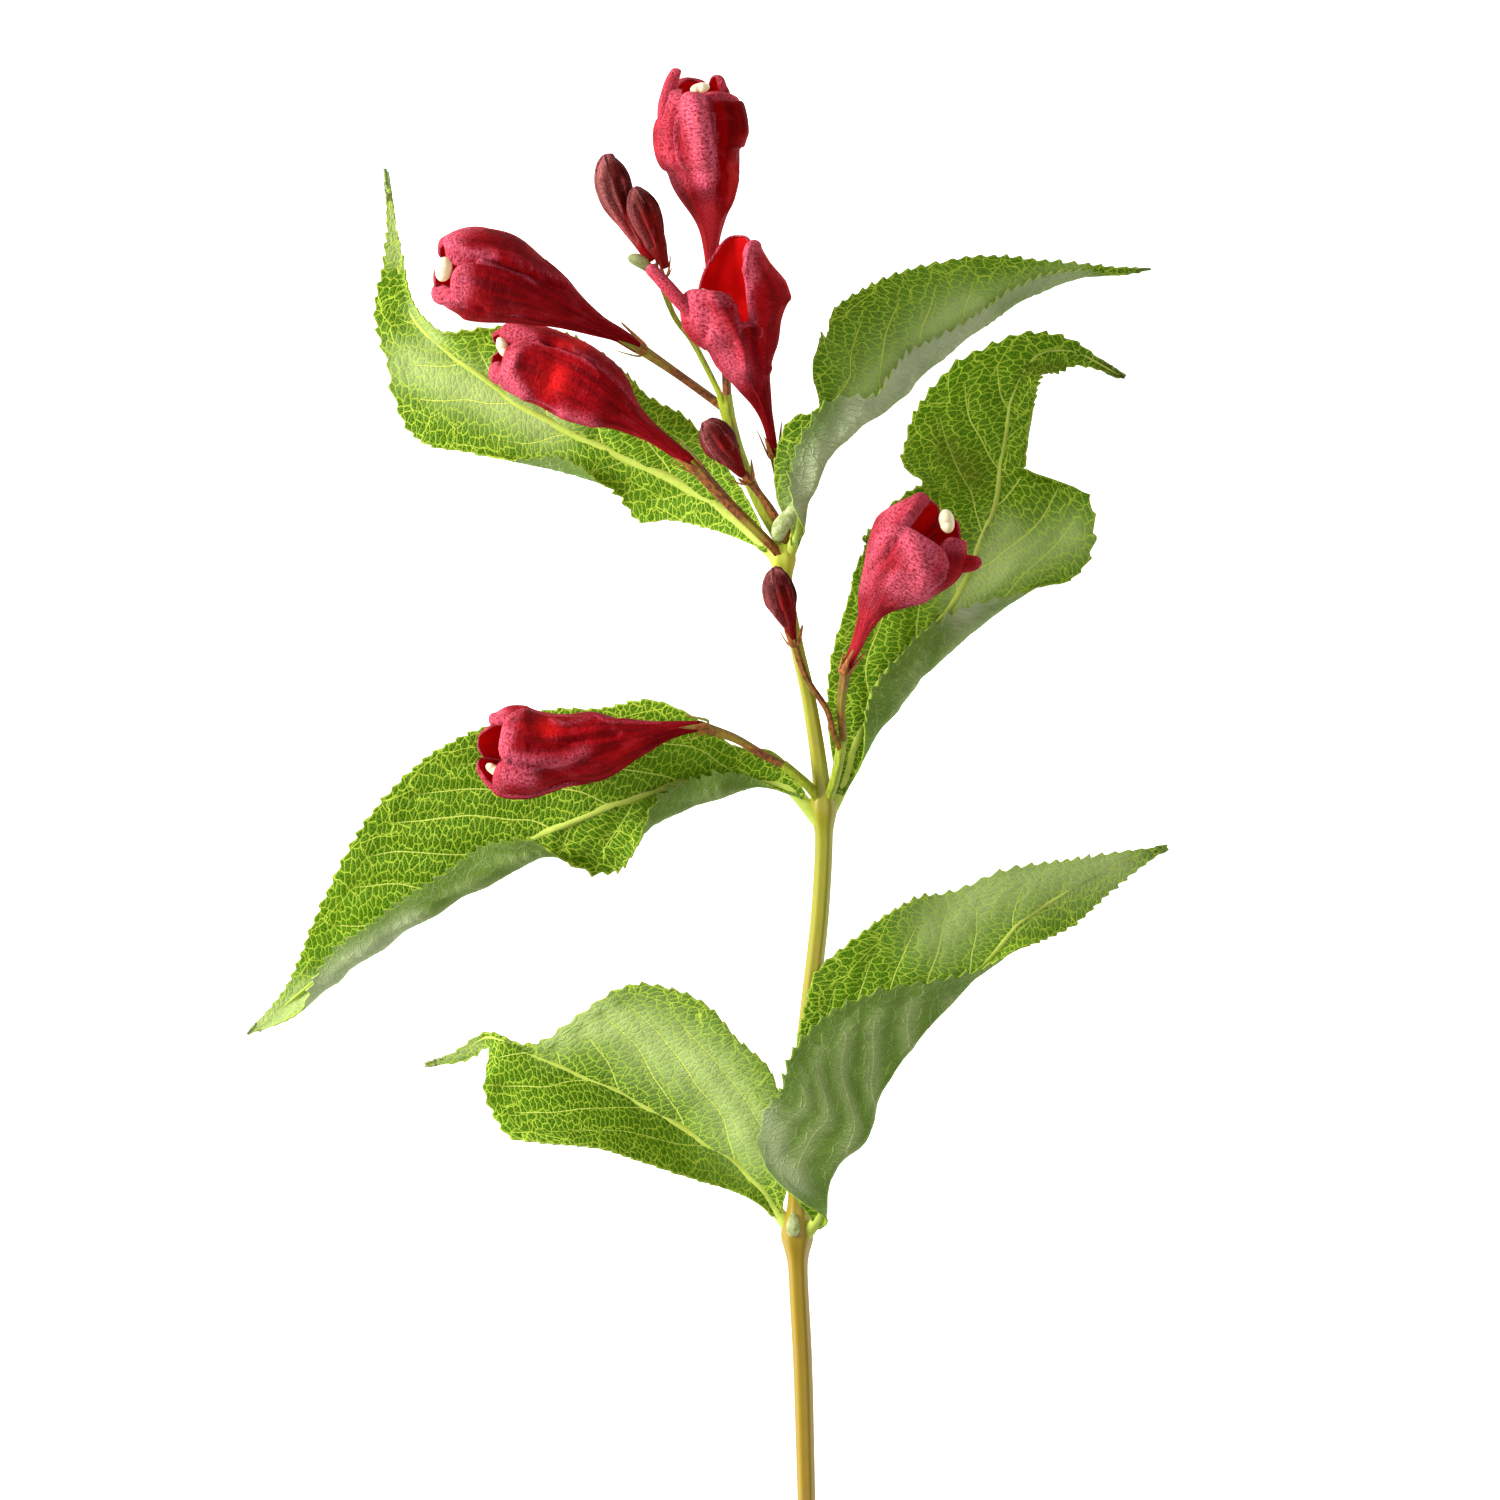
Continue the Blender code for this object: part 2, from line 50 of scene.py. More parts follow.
class Wire:
    """One output of a node, which adds Math nodes when it is used in a sum."""

    def __init__(self, nodes, socket):
        self.nodes, self.socket = nodes, socket

    def part(self, name):
        return Wire(self.nodes, self.socket.node.outputs[name])

    def __add__(self, other):
        return self.nodes.math("ADD", self, other)

    def __sub__(self, other):
        return self.nodes.math("SUBTRACT", self, other)

    def __rsub__(self, other):
        return self.nodes.math("SUBTRACT", other, self)

    def __mul__(self, other):
        return self.nodes.math("MULTIPLY", self, other)

    def __truediv__(self, other):
        return self.nodes.math("DIVIDE", self, other)

    __radd__, __rmul__ = __add__, __mul__


class Nodes:
    """A node tree, for a finish or for a growth rule."""

    def __init__(self, tree):
        self.tree = tree
        tree.nodes.clear()

    def node(self, kind, settings=None, values=None, out=0):
        made = self.tree.nodes.new(kind)
        for name, value in (settings or {}).items():
            setattr(made, name, value)
        for key, value in (values or {}).items():
            socket = made.inputs[key]
            if isinstance(value, Wire):
                self.tree.links.new(value.socket, socket)
            elif socket.type == "RGBA":
                socket.default_value = (*value, 1.0)
            else:
                socket.default_value = value
        return Wire(self, made.outputs[out]) if made.outputs else made

    def math(self, operation, *values):
        return self.node("ShaderNodeMath", {"operation": operation}, dict(enumerate(values)))

    def ease(self, value, low, high, start=0.0, end=1.0):
        """A soft step from start to end as value goes from low to high."""
        return self.node("ShaderNodeMapRange", {"interpolation_type": "SMOOTHSTEP"},
                         {0: value, 1: low, 2: high, 3: start, 4: end})

    def blend(self, share, a, b):
        """Colour a where share is 0 and colour b where it is 1."""
        return self.node("ShaderNodeMix", {"data_type": "RGBA"}, {0: share, 6: a, 7: b}, out=2)

    def vector(self, x, y):
        return self.node("ShaderNodeCombineXYZ", None, {0: x, 1: y})

    def scaled(self, vector, by):
        return self.node("ShaderNodeVectorMath", {"operation": "SCALE"}, {0: vector, "Scale": by})

    def place(self):
        """Where a point is on its object, in metres."""
        return self.node("ShaderNodeTexCoord").part("Object")

    def map_pair(self, name):
        """The two values that a map of the piece holds."""
        if self.tree.type == "GEOMETRY":
            kind = {"data_type": "FLOAT_VECTOR"}
            read = self.node("GeometryNodeInputNamedAttribute", kind, {"Name": name})
        else:
            read = self.node("ShaderNodeUVMap", {"uv_map": name})
        pair = self.node("ShaderNodeSeparateXYZ", None, {0: read})
        return pair.part("X"), pair.part("Y")

    def noise(self, place, scale, detail=2.0, rough=0.5):
        return self.node("ShaderNodeTexNoise", None,
                         {"Vector": place, "Scale": scale, "Detail": detail, "Roughness": rough})

    def skin(self, colour, rough, height=None, depth=0.0, through=None, share=0.0, **constants):
        """Ends a finish. Height is its relief, which is depth mm deep.

        Through is the colour of the light that thin tissue lets pass, and share how much.
        """
        values = {"Base Color": colour, "Roughness": rough}
        values.update({name.replace("_", " "): value for name, value in constants.items()})
        if height is not None:
            values["Normal"] = self.node("ShaderNodeBump", None, {
                "Strength": 1.0, "Distance": depth * MM, "Height": height})
        shader = self.node("ShaderNodeBsdfPrincipled", None, values)
        if through is not None:
            glow = self.node("ShaderNodeBsdfTranslucent", None, {"Color": through})
            shader = self.node("ShaderNodeMixShader", None, {0: share, 1: shader, 2: glow})
        self.node("ShaderNodeOutputMaterial", None, {"Surface": shader})


def rgb(red, green, blue):
    """A paint-chart colour, 0 to 255, as the linear colour that a shader takes."""
    return tuple(((c / 255 + 0.055) / 1.055) ** 2.4 if c > 10 else c / 3295
                 for c in (red, green, blue))


def new_finish(name):
    made = bpy.data.materials.new(name)
    made.use_nodes = True
    return made, Nodes(made.node_tree)


def grained_finish(name, scale, detail, rough, draw=1.0):
    """A new finish and the grain of its skin, which is drawn out along y where draw is below 1."""
    made, nodes = new_finish(name)
    place = nodes.node("ShaderNodeMapping", None, {
        "Vector": nodes.place(), "Scale": (1.0, draw, 1.0)})
    return made, nodes, nodes.noise(place, scale, detail, rough)


def smooth(rows, at):
    """Smooth curve through rows (t, a, b, ...), read at each value of t."""
    rows = np.asarray(rows, float)
    x, y = rows[:, 0], rows[:, 1:]
    at = np.clip(np.asarray(at, float), x[0], x[-1])
    step = np.diff(x)[:, None]
    rise = np.diff(y, axis=0) / step
    slope = np.empty_like(y)
    slope[0], slope[-1] = rise[0], rise[-1]
    slope[1:-1] = (rise[:-1] * step[1:] + rise[1:] * step[:-1]) / (step[1:] + step[:-1])
    i = np.clip(np.searchsorted(x, at, side="right") - 1, 0, len(x) - 2)
    h = step[i]
    u = (at - x[i])[:, None] / h
    start = (2 * u**3 - 3 * u**2 + 1) * y[i] + (u**3 - 2 * u**2 + u) * h * slope[i]
    return start + (3 * u**2 - 2 * u**3) * y[i + 1] + (u**3 - u**2) * h * slope[i + 1]


def along(rows, count):
    """Rows (x, y, z, ...) at even steps of length along their curve, and that length."""
    rows = np.asarray(rows, float)
    chord = np.linalg.norm(np.diff(rows[:, :3], axis=0), axis=1) ** 0.5
    knots = np.concatenate([[0.0], np.cumsum(chord)])
    fine = smooth(np.column_stack([knots, rows]), np.linspace(0, knots[-1], 2400))
    run = np.concatenate([[0.0], np.cumsum(np.linalg.norm(np.diff(fine[:, :3], axis=0), axis=1))])
    even = np.linspace(0, run[-1], count)
    return np.column_stack([np.interp(even, run, column) for column in fine.T]), run[-1]


def frames(line):
    """Forward, sideways (level, to the left) and upward directions along a line."""
    forward = np.gradient(line, axis=0)
    forward /= np.linalg.norm(forward, axis=1)[:, None]
    level = forward.copy()
    level[:, 2] = 0.0
    level /= np.maximum(np.linalg.norm(level, axis=1)[:, None], 1e-6)
    # Averaged over an eighth of the line, so that the directions turn smoothly.
    reach = max(3, len(line) // 16)
    padded = np.vstack([np.repeat(level[:1], reach, 0), level, np.repeat(level[-1:], reach, 0)])
    window = np.hanning(2 * reach + 1)
    window /= window.sum()
    level = np.column_stack([np.convolve(padded[:, k], window, "valid") for k in range(3)])
    side = np.cross([0.0, 0.0, 1.0], level)
    side -= forward * (side * forward).sum(1)[:, None]
    side /= np.linalg.norm(side, axis=1)[:, None]
    return forward, side, np.cross(forward, side)


def placed(name, data):
    """A new object in the scene that shows data."""
    made = bpy.data.objects.new(name, data)
    bpy.context.scene.collection.objects.link(made)
    return made


def belongs(piece, node):
    """Ties a piece to the one body, and hides the solid that it stands for."""
    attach(piece, "root")
    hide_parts(node)


def grow(made, tree, **sizes):
    """Runs a growth rule on a piece and keeps the plain mesh that it makes."""
    rule = made.modifiers.new(tree.name, "NODES")
    rule.node_group = tree
    for item in tree.interface.items_tree:
        given = item.name.replace(" ", "_")
        if item.item_type == "SOCKET" and item.in_out == "INPUT" and given in sizes:
            rule[item.identifier] = sizes[given]
    bpy.context.view_layer.update()
    graph = bpy.context.evaluated_depsgraph_get()
    mesh = bpy.data.meshes.new_from_object(made.evaluated_get(graph), depsgraph=graph)
    name = made.name
    bpy.data.objects.remove(made, do_unlink=True)
    mesh.name = name
    mesh.shade_smooth()
    return placed(name, mesh)


def rule_tree(name, sizes):
    """An empty growth rule with its named inputs, as nodes and the input node."""
    tree = bpy.data.node_groups.new(name, "GeometryNodeTree")
    tree.interface.new_socket("Geometry", in_out="INPUT", socket_type="NodeSocketGeometry")
    for size, value in sizes.items():
        kind = ("NodeSocketMaterial" if value is None else
                "NodeSocketInt" if isinstance(value, int) else "NodeSocketFloat")
        socket = tree.interface.new_socket(size, in_out="INPUT", socket_type=kind)
        if value is not None:
            socket.default_value = value
    tree.interface.new_socket("Geometry", in_out="OUTPUT", socket_type="NodeSocketGeometry")
    nodes = Nodes(tree)
    return tree, nodes, nodes.node("NodeGroupInput")


def close_rule(nodes, geometry, finish):
    """The end of each growth rule: real geometry, its finish, and the output."""
    real = nodes.node("GeometryNodeRealizeInstances", None, {0: geometry})
    dressed = nodes.node("GeometryNodeSetMaterial", None, {"Geometry": real, "Material": finish})
    nodes.node("NodeGroupOutput", None, {0: dressed})


# One growth rule makes every stalk: a ribbed ring is swept along the stalk's
# line at the line's own thickness, and its skin is left slightly uneven.
stalk_rule, grow_in, size = rule_tree("stalk_growth", {
    "Ribs": 6, "Rib depth": 0.05, "Unevenness": 0.012, "Finish": None})
RING_POINTS = 30
ring = grow_in.node("GeometryNodeCurvePrimitiveCircle", None, {
    "Resolution": RING_POINTS, "Radius": MM})
turn = grow_in.node("GeometryNodeInputIndex") * (2 * math.pi / RING_POINTS)
rib = grow_in.math("COSINE", turn * size.part("Ribs")) * size.part("Rib depth") + 1.0
ring = grow_in.node("GeometryNodeSetPosition", None, {
    "Geometry": ring, "Position": grow_in.scaled(grow_in.node("GeometryNodeInputPosition"), rib)})
sweep = grow_in.node("GeometryNodeCurveToMesh", None, {
    "Curve": size.part("Geometry"), "Profile Curve": ring, "Fill Caps": True,
    "Scale": grow_in.node("GeometryNodeInputRadius")})
lumps = grow_in.noise(grow_in.node("ShaderNodeVectorMath", {"operation": "MULTIPLY"}, {
    0: grow_in.node("GeometryNodeInputPosition"), 1: (1.0, 0.3, 1.0)}), 900.0)
push = grow_in.scaled(grow_in.node("GeometryNodeInputNormal"),
                      (lumps - 0.5) * size.part("Unevenness") * MM)
sweep = grow_in.node("GeometryNodeSetPosition", None, {"Geometry": sweep, "Offset": push})
close_rule(grow_in, sweep, size.part("Finish"))


def stalk(name, rows, finish, step=0.4, joints=(), **sizes):
    """A tapering stalk along rows (x, y, z, radius); joints are (y, extra radius, spread)."""
    _, length = along(rows, 2)
    line, _ = along(rows, max(8, int(length / step)))
    for y, extra, spread in joints:
        line[:, 3] += extra * np.exp(-0.5 * ((line[:, 1] - y) / spread) ** 2)
    curve = bpy.data.curves.new(name, "CURVE")
    curve.dimensions = "3D"
    spline = curve.splines.new("POLY")
    spline.points.add(len(line) - 1)
    for point, row in zip(spline.points, line):
        point.co = (*((row[:3] - MIDDLE) * MM), 1.0)
        point.radius = row[3]
    return grow(placed(name, curve), stalk_rule, Finish=finish, **sizes)


young_bark, bark, streaks = grained_finish("young_bark", 2600.0, 4.0, 0.6, 0.12)
patches = bark.noise(bark.place(), 140.0)
height_on_shoot = bark.node("ShaderNodeSeparateXYZ", None, {0: bark.place()}).part("Y")
greener = bark.ease(height_on_shoot, -0.075, 0.0)
tone = bark.blend(bark.ease(streaks, 0.3, 0.75), rgb(156, 126, 6), rgb(150, 124, 14))
green = bark.blend(bark.ease(streaks, 0.3, 0.75), rgb(158, 148, 14), rgb(140, 148, 14))
tone = bark.blend(greener, tone, green)
tone = bark.blend(bark.ease(patches, 0.5, 0.8) * 0.3, tone, rgb(158, 116, 60))
tone = bark.blend(bark.ease(height_on_shoot, 0.022, 0.036, 0.0, 0.7), tone, rgb(200, 210, 62))
bark.skin(tone, 0.42 + streaks * 0.12, streaks, 0.015, Specular_IOR_Level=0.45)

JOINTS = ((-61, 0.9, 1.9), (-1.1, 0.7, 1.6), (33.8, 0.9, 1.5))   # the swelling under each leaf pair
shoot = stalk("shoot", [
    (14.2, -102, 1.25, 1.2), (13.6, -80, 5, 1.3), (12.8, -61, 9, 1.3), (13.8, -36.4, 12.2, 1.25),
    (16.1, -14, 15.3, 1.2), (16.4, -1.1, 17, 1.15), (14.4, 14, 19, 0.95), (12.8, 21, 20, 0.9),
    (11.2, 29.4, 21.3, 0.9), (10.7, 33.8, 22, 0.9), (10.4, 35.7, 22.2, 0.95)],
    young_bark, joints=JOINTS)
belongs(shoot, "stem")

# ---------------------------------------------------------------------------
# The leaves: three opposite pairs of thin, toothed, net-veined blades. Each is
# one blade on a tapering midrib that starts as the leaf's stalk at a joint of
# the shoot. Some margins have rolled up and over, so their undersides show.

LEAF_STEP = 0.36         # mm between cross-sections of a blade
HALF_STRIPS = 44         # strips from midrib to margin
BLADE_WALL = 0.28        # mm
TOOTH_PITCH, TOOTH_LENGTH = 1.75, 0.55   # mm
SIDE_VEIN_GAP = 9.4      # mm between two side veins at the midrib
MAP_SPAN, MARGIN_SPAN = 100.0, 20.0    # mm that the two kinds of map hold in one unit


def half_section(row, roll, tooth):
    """One half of a leaf's cross-section: sideways, upward and distance from the midrib.

    row is the reach sideways, the slope of the blade in degrees, the angle that its
    margin is rolled to and the breadth of the rolled strip. A tooth adds to its edge,
    and shows more on a rolled strip.
    """
    reach, slope, fold, tuck = row
    tooth = tooth * (1 + 0.55 * min(tuck, 1.6))
    start, end = math.radians(slope), math.radians(max(fold, slope))
    radius = min(roll, 0.9 * reach / max(1 - math.sin(start), 0.2))   # tighter where it is narrow
    flat = reach - radius * (math.sin(min(end, math.pi / 2)) - math.sin(start))
    if end < math.pi / 2:
        flat -= tuck * math.cos(end)
    flat = max(flat / math.cos(start), 0.05)
    arc = radius * (end - start)
    total = flat + arc + tuck
    u = np.linspace(0, total + 1.2, 401)
    middle = 0.5 * (u[1:] + u[:-1])
    angle = start + (end - start) * np.clip((middle - flat) / max(arc, 1e-6), 0, 1)
    across = np.concatenate([[0], np.cumsum(np.cos(angle) * np.diff(u))])
    up = np.concatenate([[0], np.cumsum(np.sin(angle) * np.diff(u))])
    at = np.linspace(0, 1, HALF_STRIPS + 1)
    at = total * at + (tooth - 0.25 * TOOTH_LENGTH) * at**7   # a tooth moves only the outermost
    return np.interp(at, u, across), np.interp(at, u, up), at


def teeth(run, seed):
    """Length of the forward-pointing teeth at distances run along a blade."""
    chance = np.random.default_rng(seed)
    wander = np.interp(run, np.arange(0, 140, 6.0), chance.uniform(-0.45, 0.45, 24))
    phase = run / TOOTH_PITCH + wander
    size = chance.uniform(0.65, 1.15, 200)[np.floor(phase).astype(int) + 5]
    part = phase % 1.0
    # Each tooth has a long back and a short, steep front.
    return TOOTH_LENGTH * size * np.where(part < 0.76, (part / 0.76) ** 1.6, (1 - part) / 0.24)


def near_line(x, y, marks):
    """Height that ridges and furrows (height, width, line of x, y) add at places x, y."""
    total = np.zeros_like(x)
    for height, width, line in marks:
        nearest = np.full(x.shape, 1e9)
        for (ax, ay), (bx, by) in zip(line, line[1:]):
            dx, dy = bx - ax, by - ay
            part = np.clip(((x - ax) * dx + (y - ay) * dy) / (dx * dx + dy * dy), 0, 1)
            nearest = np.minimum(nearest, np.hypot(x - ax - part * dx, y - ay - part * dy))
        total += height * np.exp(-(nearest / width) ** 2)
    return total


def vein_field(nodes):
    """The net of veins over a blade, drawn from its maps.

    Gives the place along and across the blade, mm from its margin, and four masks: the side
    veins, the net, the swelling of the skin inside each mesh of the net, and a wide, soft
    valley around the side veins.
    """
    run, across = nodes.map_pair("blade")
    run, across = run * MAP_SPAN, (across - 0.5) * MAP_SPAN
    edge = nodes.map_pair("margin")[1] * MARGIN_SPAN
    place = nodes.vector(run, across)
    wander = nodes.noise(place, 0.09, 1.0) - 0.5
    off = nodes.math("ABSOLUTE", across)
    side = nodes.math("GREATER_THAN", across, 0.0)
    lean = off * 1.1 + off * off * 0.06
    phase = (run - lean + wander * 5.0 + side * 4.1) / SIDE_VEIN_GAP
    slope = nodes.math("POWER", off * 0.12 + 1.1, 2.0) + 1.0
    apart = (nodes.math("PINGPONG", phase, 0.5) * (2.0 * SIDE_VEIN_GAP)
             / nodes.math("SQRT", slope) * 0.5)
    width = nodes.ease(edge, 1.0, 9.0, 0.02, 0.07)
    lines = nodes.ease(apart, width, width + 0.07, 1.0, 0.0) * nodes.ease(edge, 2.5, 5.0)
    valley = nodes.ease(apart, 0.0, 2.2, 1.0, 0.0) * nodes.ease(edge, 1.5, 4.0)
    shift = nodes.noise(place, 0.5, 1.0) - 0.5

    def cells(x, y, scale, uneven):
        kind = {"feature": "DISTANCE_TO_EDGE", "voronoi_dimensions": "2D"}
        return nodes.node("ShaderNodeTexVoronoi", kind, {
            "Vector": nodes.vector(x, y), "Scale": scale, "Randomness": uneven})

    rungs = cells((run - off * 1.4 + shift) * 0.34,
                  (run * 1.4 + off + shift * 1.5) * 0.8, 1.0, 0.85)
    finest = cells(run + shift, across - shift, 2.2, 0.8)
    loops = cells(run + shift * 2.0, across + wander, 0.21, 0.6)
    net = nodes.math("MAXIMUM", nodes.ease(rungs, 0.0, 0.095, 0.85, 0.0),
                     nodes.ease(finest, 0.0, 0.12, 0.35, 0.0))
    loops = nodes.ease(loops, 0.0, 0.024, 1.0, 0.0) * nodes.ease(edge, 3.5, 7.0, 1.0, 0.0)
    pillow = nodes.ease(rungs, 0.0, 0.3) * 0.65 + nodes.ease(finest, 0.0, 0.4) * 0.35
    return place, edge, lines, nodes.math("MAXIMUM", net, loops), pillow, valley


def grid_faces(rows, columns, first=0):
    """The faces of a grid of points, each as its four corners."""
    i, j = np.meshgrid(np.arange(rows - 1), np.arange(columns - 1), indexing="ij")
    corner = (i * columns + j).ravel() + first
    return np.column_stack([corner, corner + columns, corner + columns + 1, corner + 1])


def mesh_object(name, points, faces, finishes, maps):
    """A piece from points in mm of the sprig's frame. Maps are UV layers, two values a point."""
    mesh = bpy.data.meshes.new(name)
    mesh.from_pydata((points.reshape(-1, 3) - MIDDLE) * MM, [], faces.tolist())
    for finish in finishes:
        mesh.materials.append(finish)
    corners = np.empty(len(mesh.loops), np.int32)
    mesh.loops.foreach_get("vertex_index", corners)
    for layer, values in maps.items():
        values = values.reshape(-1, 2)[corners].astype(np.float32)
        mesh.uv_layers.new(name=layer).data.foreach_set("uv", values.ravel())
    mesh.shade_smooth()
    return placed(name, mesh)


def add_wall(made, thickness):
    """Gives a sheet its thickness, inwards; its inner side takes the second finish."""
    wall = made.modifiers.new("wall", "SOLIDIFY")
    wall.thickness, wall.offset = thickness * MM, -1.0
    wall.material_offset, wall.material_offset_rim = 1, 0
    return wall


# The growth rule of a blade sinks its veins and lifts the skin between them.
blade_rule, grow_in, size = rule_tree("blade_growth", {
    "Vein depth": 0.36, "Cell depth": 0.05, "Waviness": 0.5, "Finish": None})
place, edge, _, _, pillow, valley = vein_field(grow_in)
wave = grow_in.noise(place, 0.13) - 0.5
rise = wave * size.part("Waviness") * 2.0
rise = rise - valley * size.part("Vein depth") + pillow * size.part("Cell depth")
rise = rise * grow_in.ease(edge, 0.0, 1.2, 0.25, 1.0) * MM
lift = grow_in.scaled(grow_in.node("GeometryNodeInputNormal"), rise)
formed = grow_in.node("GeometryNodeSetPosition", None, {
    "Geometry": size.part("Geometry"), "Offset": lift})
close_rule(grow_in, formed, size.part("Finish"))

leaf_top, top = new_finish("leaf_green_upper")
place, edge, lines, net, pillow, _ = vein_field(top)
# Painted sheen: the first value of the tint map paints a pale grey-green satin highlight where
# light glances off the blade; the second is where the skin has withered.
painted_sheen, withered = top.map_pair("tint")
broad = top.noise(top.place(), 38.0)
grain = top.noise(place, 4.2, 3.0, 0.7)
painted_sheen = painted_sheen * top.ease(grain, 0.25, 0.65, 0.55, 1.0)
tissue = top.blend(top.ease(broad, 0.3, 0.7), rgb(36, 82, 0), rgb(66, 114, 0))
tissue = top.blend(top.ease(grain, 0.35, 0.7) * 0.45, tissue, rgb(28, 68, 0))
tissue = top.blend((1.0 - pillow) * 0.3, tissue, rgb(116, 158, 10))
# the painted sheen: a pale grey-green highlight, with the net of veins faded under it
tissue = top.blend(painted_sheen * 0.85, tissue, rgb(204, 220, 146))
tissue = top.blend(net * (1.0 - painted_sheen * 0.6), tissue, rgb(212, 232, 78))
tissue = top.blend(lines * 0.85, tissue, rgb(228, 240, 110))
tissue = top.blend(top.ease(edge, 0.0, 0.4, 0.5, 0.0), tissue, rgb(186, 206, 70))
tissue = top.blend(withered * top.ease(grain, 0.3, 0.6, 0.4, 1.0), tissue, rgb(82, 44, 18))
top.skin(tissue, 0.5 - net * 0.06 + grain * 0.14, pillow * 0.8 + grain * 0.3 - lines, 0.08,
         through=rgb(160, 200, 0), share=0.24, Specular_IOR_Level=0.1)

leaf_under, under = new_finish("leaf_green_under")
place, _, lines, net, _, valley = vein_field(under)
painted_sheen, _ = under.map_pair("tint")
fuzz = under.node("ShaderNodeMapping", None, {"Vector": place, "Scale": (1.0, 3.0, 1.0)})
fuzz = under.noise(fuzz, 3.5, 4.0, 0.8)
tissue = under.blend(under.ease(fuzz, 0.3, 0.75), rgb(58, 104, 4), rgb(168, 198, 78))
tissue = under.blend(valley * 0.45, tissue, rgb(204, 220, 144))
# the painted sheen: a pale highlight painted over the underside
tissue = under.blend(painted_sheen * 0.85, tissue, rgb(218, 226, 180))
tissue = under.blend(net * 0.45, tissue, rgb(210, 226, 156))
tissue = under.blend(lines * 0.5, tissue, rgb(222, 234, 172))
under.skin(tissue, 0.62 + fuzz * 0.1, net * 1.2 + lines * 0.5 + fuzz * 0.9, 0.1,
           through=rgb(176, 204, 40), share=0.3, Specular_IOR_Level=0.2, Sheen_Weight=0.1,
           Sheen_Roughness=0.5, Sheen_Tint=rgb(225, 240, 205))

pale_rib, spine, streaks = grained_finish("leaf_green_rib", 900.0, 3.0, 0.6)
spine.skin(spine.blend(streaks, rgb(214, 226, 104), rgb(166, 190, 66)), 0.5 + streaks * 0.15,
           streaks, 0.04, through=rgb(190, 204, 60), share=0.15, Specular_IOR_Level=0.2)


def leaf(name, root, midrib, left, right, roll, seed, pale=(), brown=(), thick=0.85, **sizes):
    """A leaf: its blade and its midrib. root is where its stalk leaves the joint, with its radius.

    left and right are rows (share of the length, reach, slope) for the two halves, with the
    angle and the breadth of the rolled strip where a margin is rolled. roll is its radius.
    pale are lines where a satin sheen is painted into the colour as a painted highlight, and
    brown lines where the skin has withered. thick is about the radius of the midrib at its foot,
    and sizes are inputs of the growth rule.
    """
    _, length = along(midrib, 2)
    stations = int(length / LEAF_STEP)
    line, _ = along(midrib, stations)
    forward, side, up = frames(line)
    at = np.linspace(0, 1, stations)
    run = at * length
    columns = 2 * HALF_STRIPS + 1
    points, blade, margin = (np.zeros((stations, columns, size)) for size in (3, 2, 2))
    points[:, HALF_STRIPS] = line
    # The foot and the tip bear no teeth.
    fade = np.clip(np.minimum((at - 0.07) / 0.06, (1 - at) / 0.14), 0, 1)
    hook = np.linspace(0, 1, HALF_STRIPS + 1) ** 7
    for table, way in ((left, 1), (right, -1)):
        tooth = teeth(run + 40, seed + way) * fade
        strip = HALF_STRIPS + way * np.arange(HALF_STRIPS + 1)
        # A margin that isn't rolled keeps the slope of the blade.
        full = [(*row, row[2], 0)[:5] for row in table]
        for i, row in enumerate(smooth(full, at)):
            out, rise, distance = half_section(row, roll, tooth[i])
            points[i, strip] = (line[i] + way * out[:, None] * side[i] + rise[:, None] * up[i]
                                + (0.8 * tooth[i] * hook)[:, None] * forward[i])
            blade[i, strip, 1] = 0.5 + way * distance / MAP_SPAN
            margin[i, strip, 1] = (distance[-1] - distance) / MARGIN_SPAN
    blade[:, :, 0] = run[:, None] / MAP_SPAN
    # The tint map holds the painted sheen along the pale lines, and the withered brown.
    tint = [np.clip(near_line(points[..., 0], points[..., 1], marks), 0, 1)
            for marks in (pale, brown)]
    made = mesh_object(name + "_blade", points, grid_faces(stations, columns), [leaf_top],
                       {"blade": blade, "margin": margin, "tint": np.stack(tint, -1)})
    made = grow(made, blade_rule, Finish=leaf_top, **sizes)
    made.data.materials.append(leaf_under)
    add_wall(made, BLADE_WALL).use_quality_normals = True

    # The midrib tapers, and lies sunk under the blade with only its ridge showing.
    radius = thick * (1 - at) ** 0.8 * 0.8 + 0.1
    sunk = line - up * (radius - 0.16 * (1 - at))[:, None]
    keep = slice(6, stations, max(1, int(1.2 / LEAF_STEP)))
    rib = stalk(name + "_rib", [root, *np.column_stack([sunk, radius])[keep]], pale_rib, step=0.5,
                Ribs=3, Rib_depth=0.03)
    belongs(made, name)
    belongs(rib, name)


# In each leaf the pale lines paint a satin sheen into the colour as a painted highlight; the brown
# lines are withered skin.
leaf("leaf_lower_left", root=(12.6, -61.4, 9.0, 1.0), roll=1.5, seed=11, thick=1.0,
    midrib=[(9.9, -58.2, 9.2), (8.2, -55.2, 9), (5, -52, 8), (-3, -46.5, 7), (-12, -41.3, 6.3),
        (-22, -37, 5.5), (-29, -33.8, 4), (-31.2, -33.6, 2.2), (-35, -36, 1), (-39.7, -37.4, 0.6)],
    left=[(0, .6, 30), (.08, 2.4, 38), (.16, 3.9, 45), (.28, 5.8, 50), (.45, 7.9, 50),
        (.6, 10.5, 42), (.66, 11.4, 35), (.71, 9.6, 30), (.76, 7, 30), (.81, 2.4, 10), (.9, 1.3, 0),
        (1, .25, 0)],
    right=[(0, .5, 15), (.1, 7, 12), (.2, 13.4, 14), (.3, 14.8, 18), (.4, 16.7, 20),
        (.48, 16.2, 20), (.56, 13.8, 20), (.64, 7, 20), (.69, 2.4, 20), (.74, .5, 20),
        (.82, .7, 15), (.9, .7, 10), (1, .25, 0)],
    pale=[(1, 5.5, [(-9, -33), (1, -38.5), (6.7, -47)]), (1, 3, [(-15, -30.6), (-21.5, -33.2)]),
        (.8, 1.5, [(-33, -34.5), (-39, -37)])])
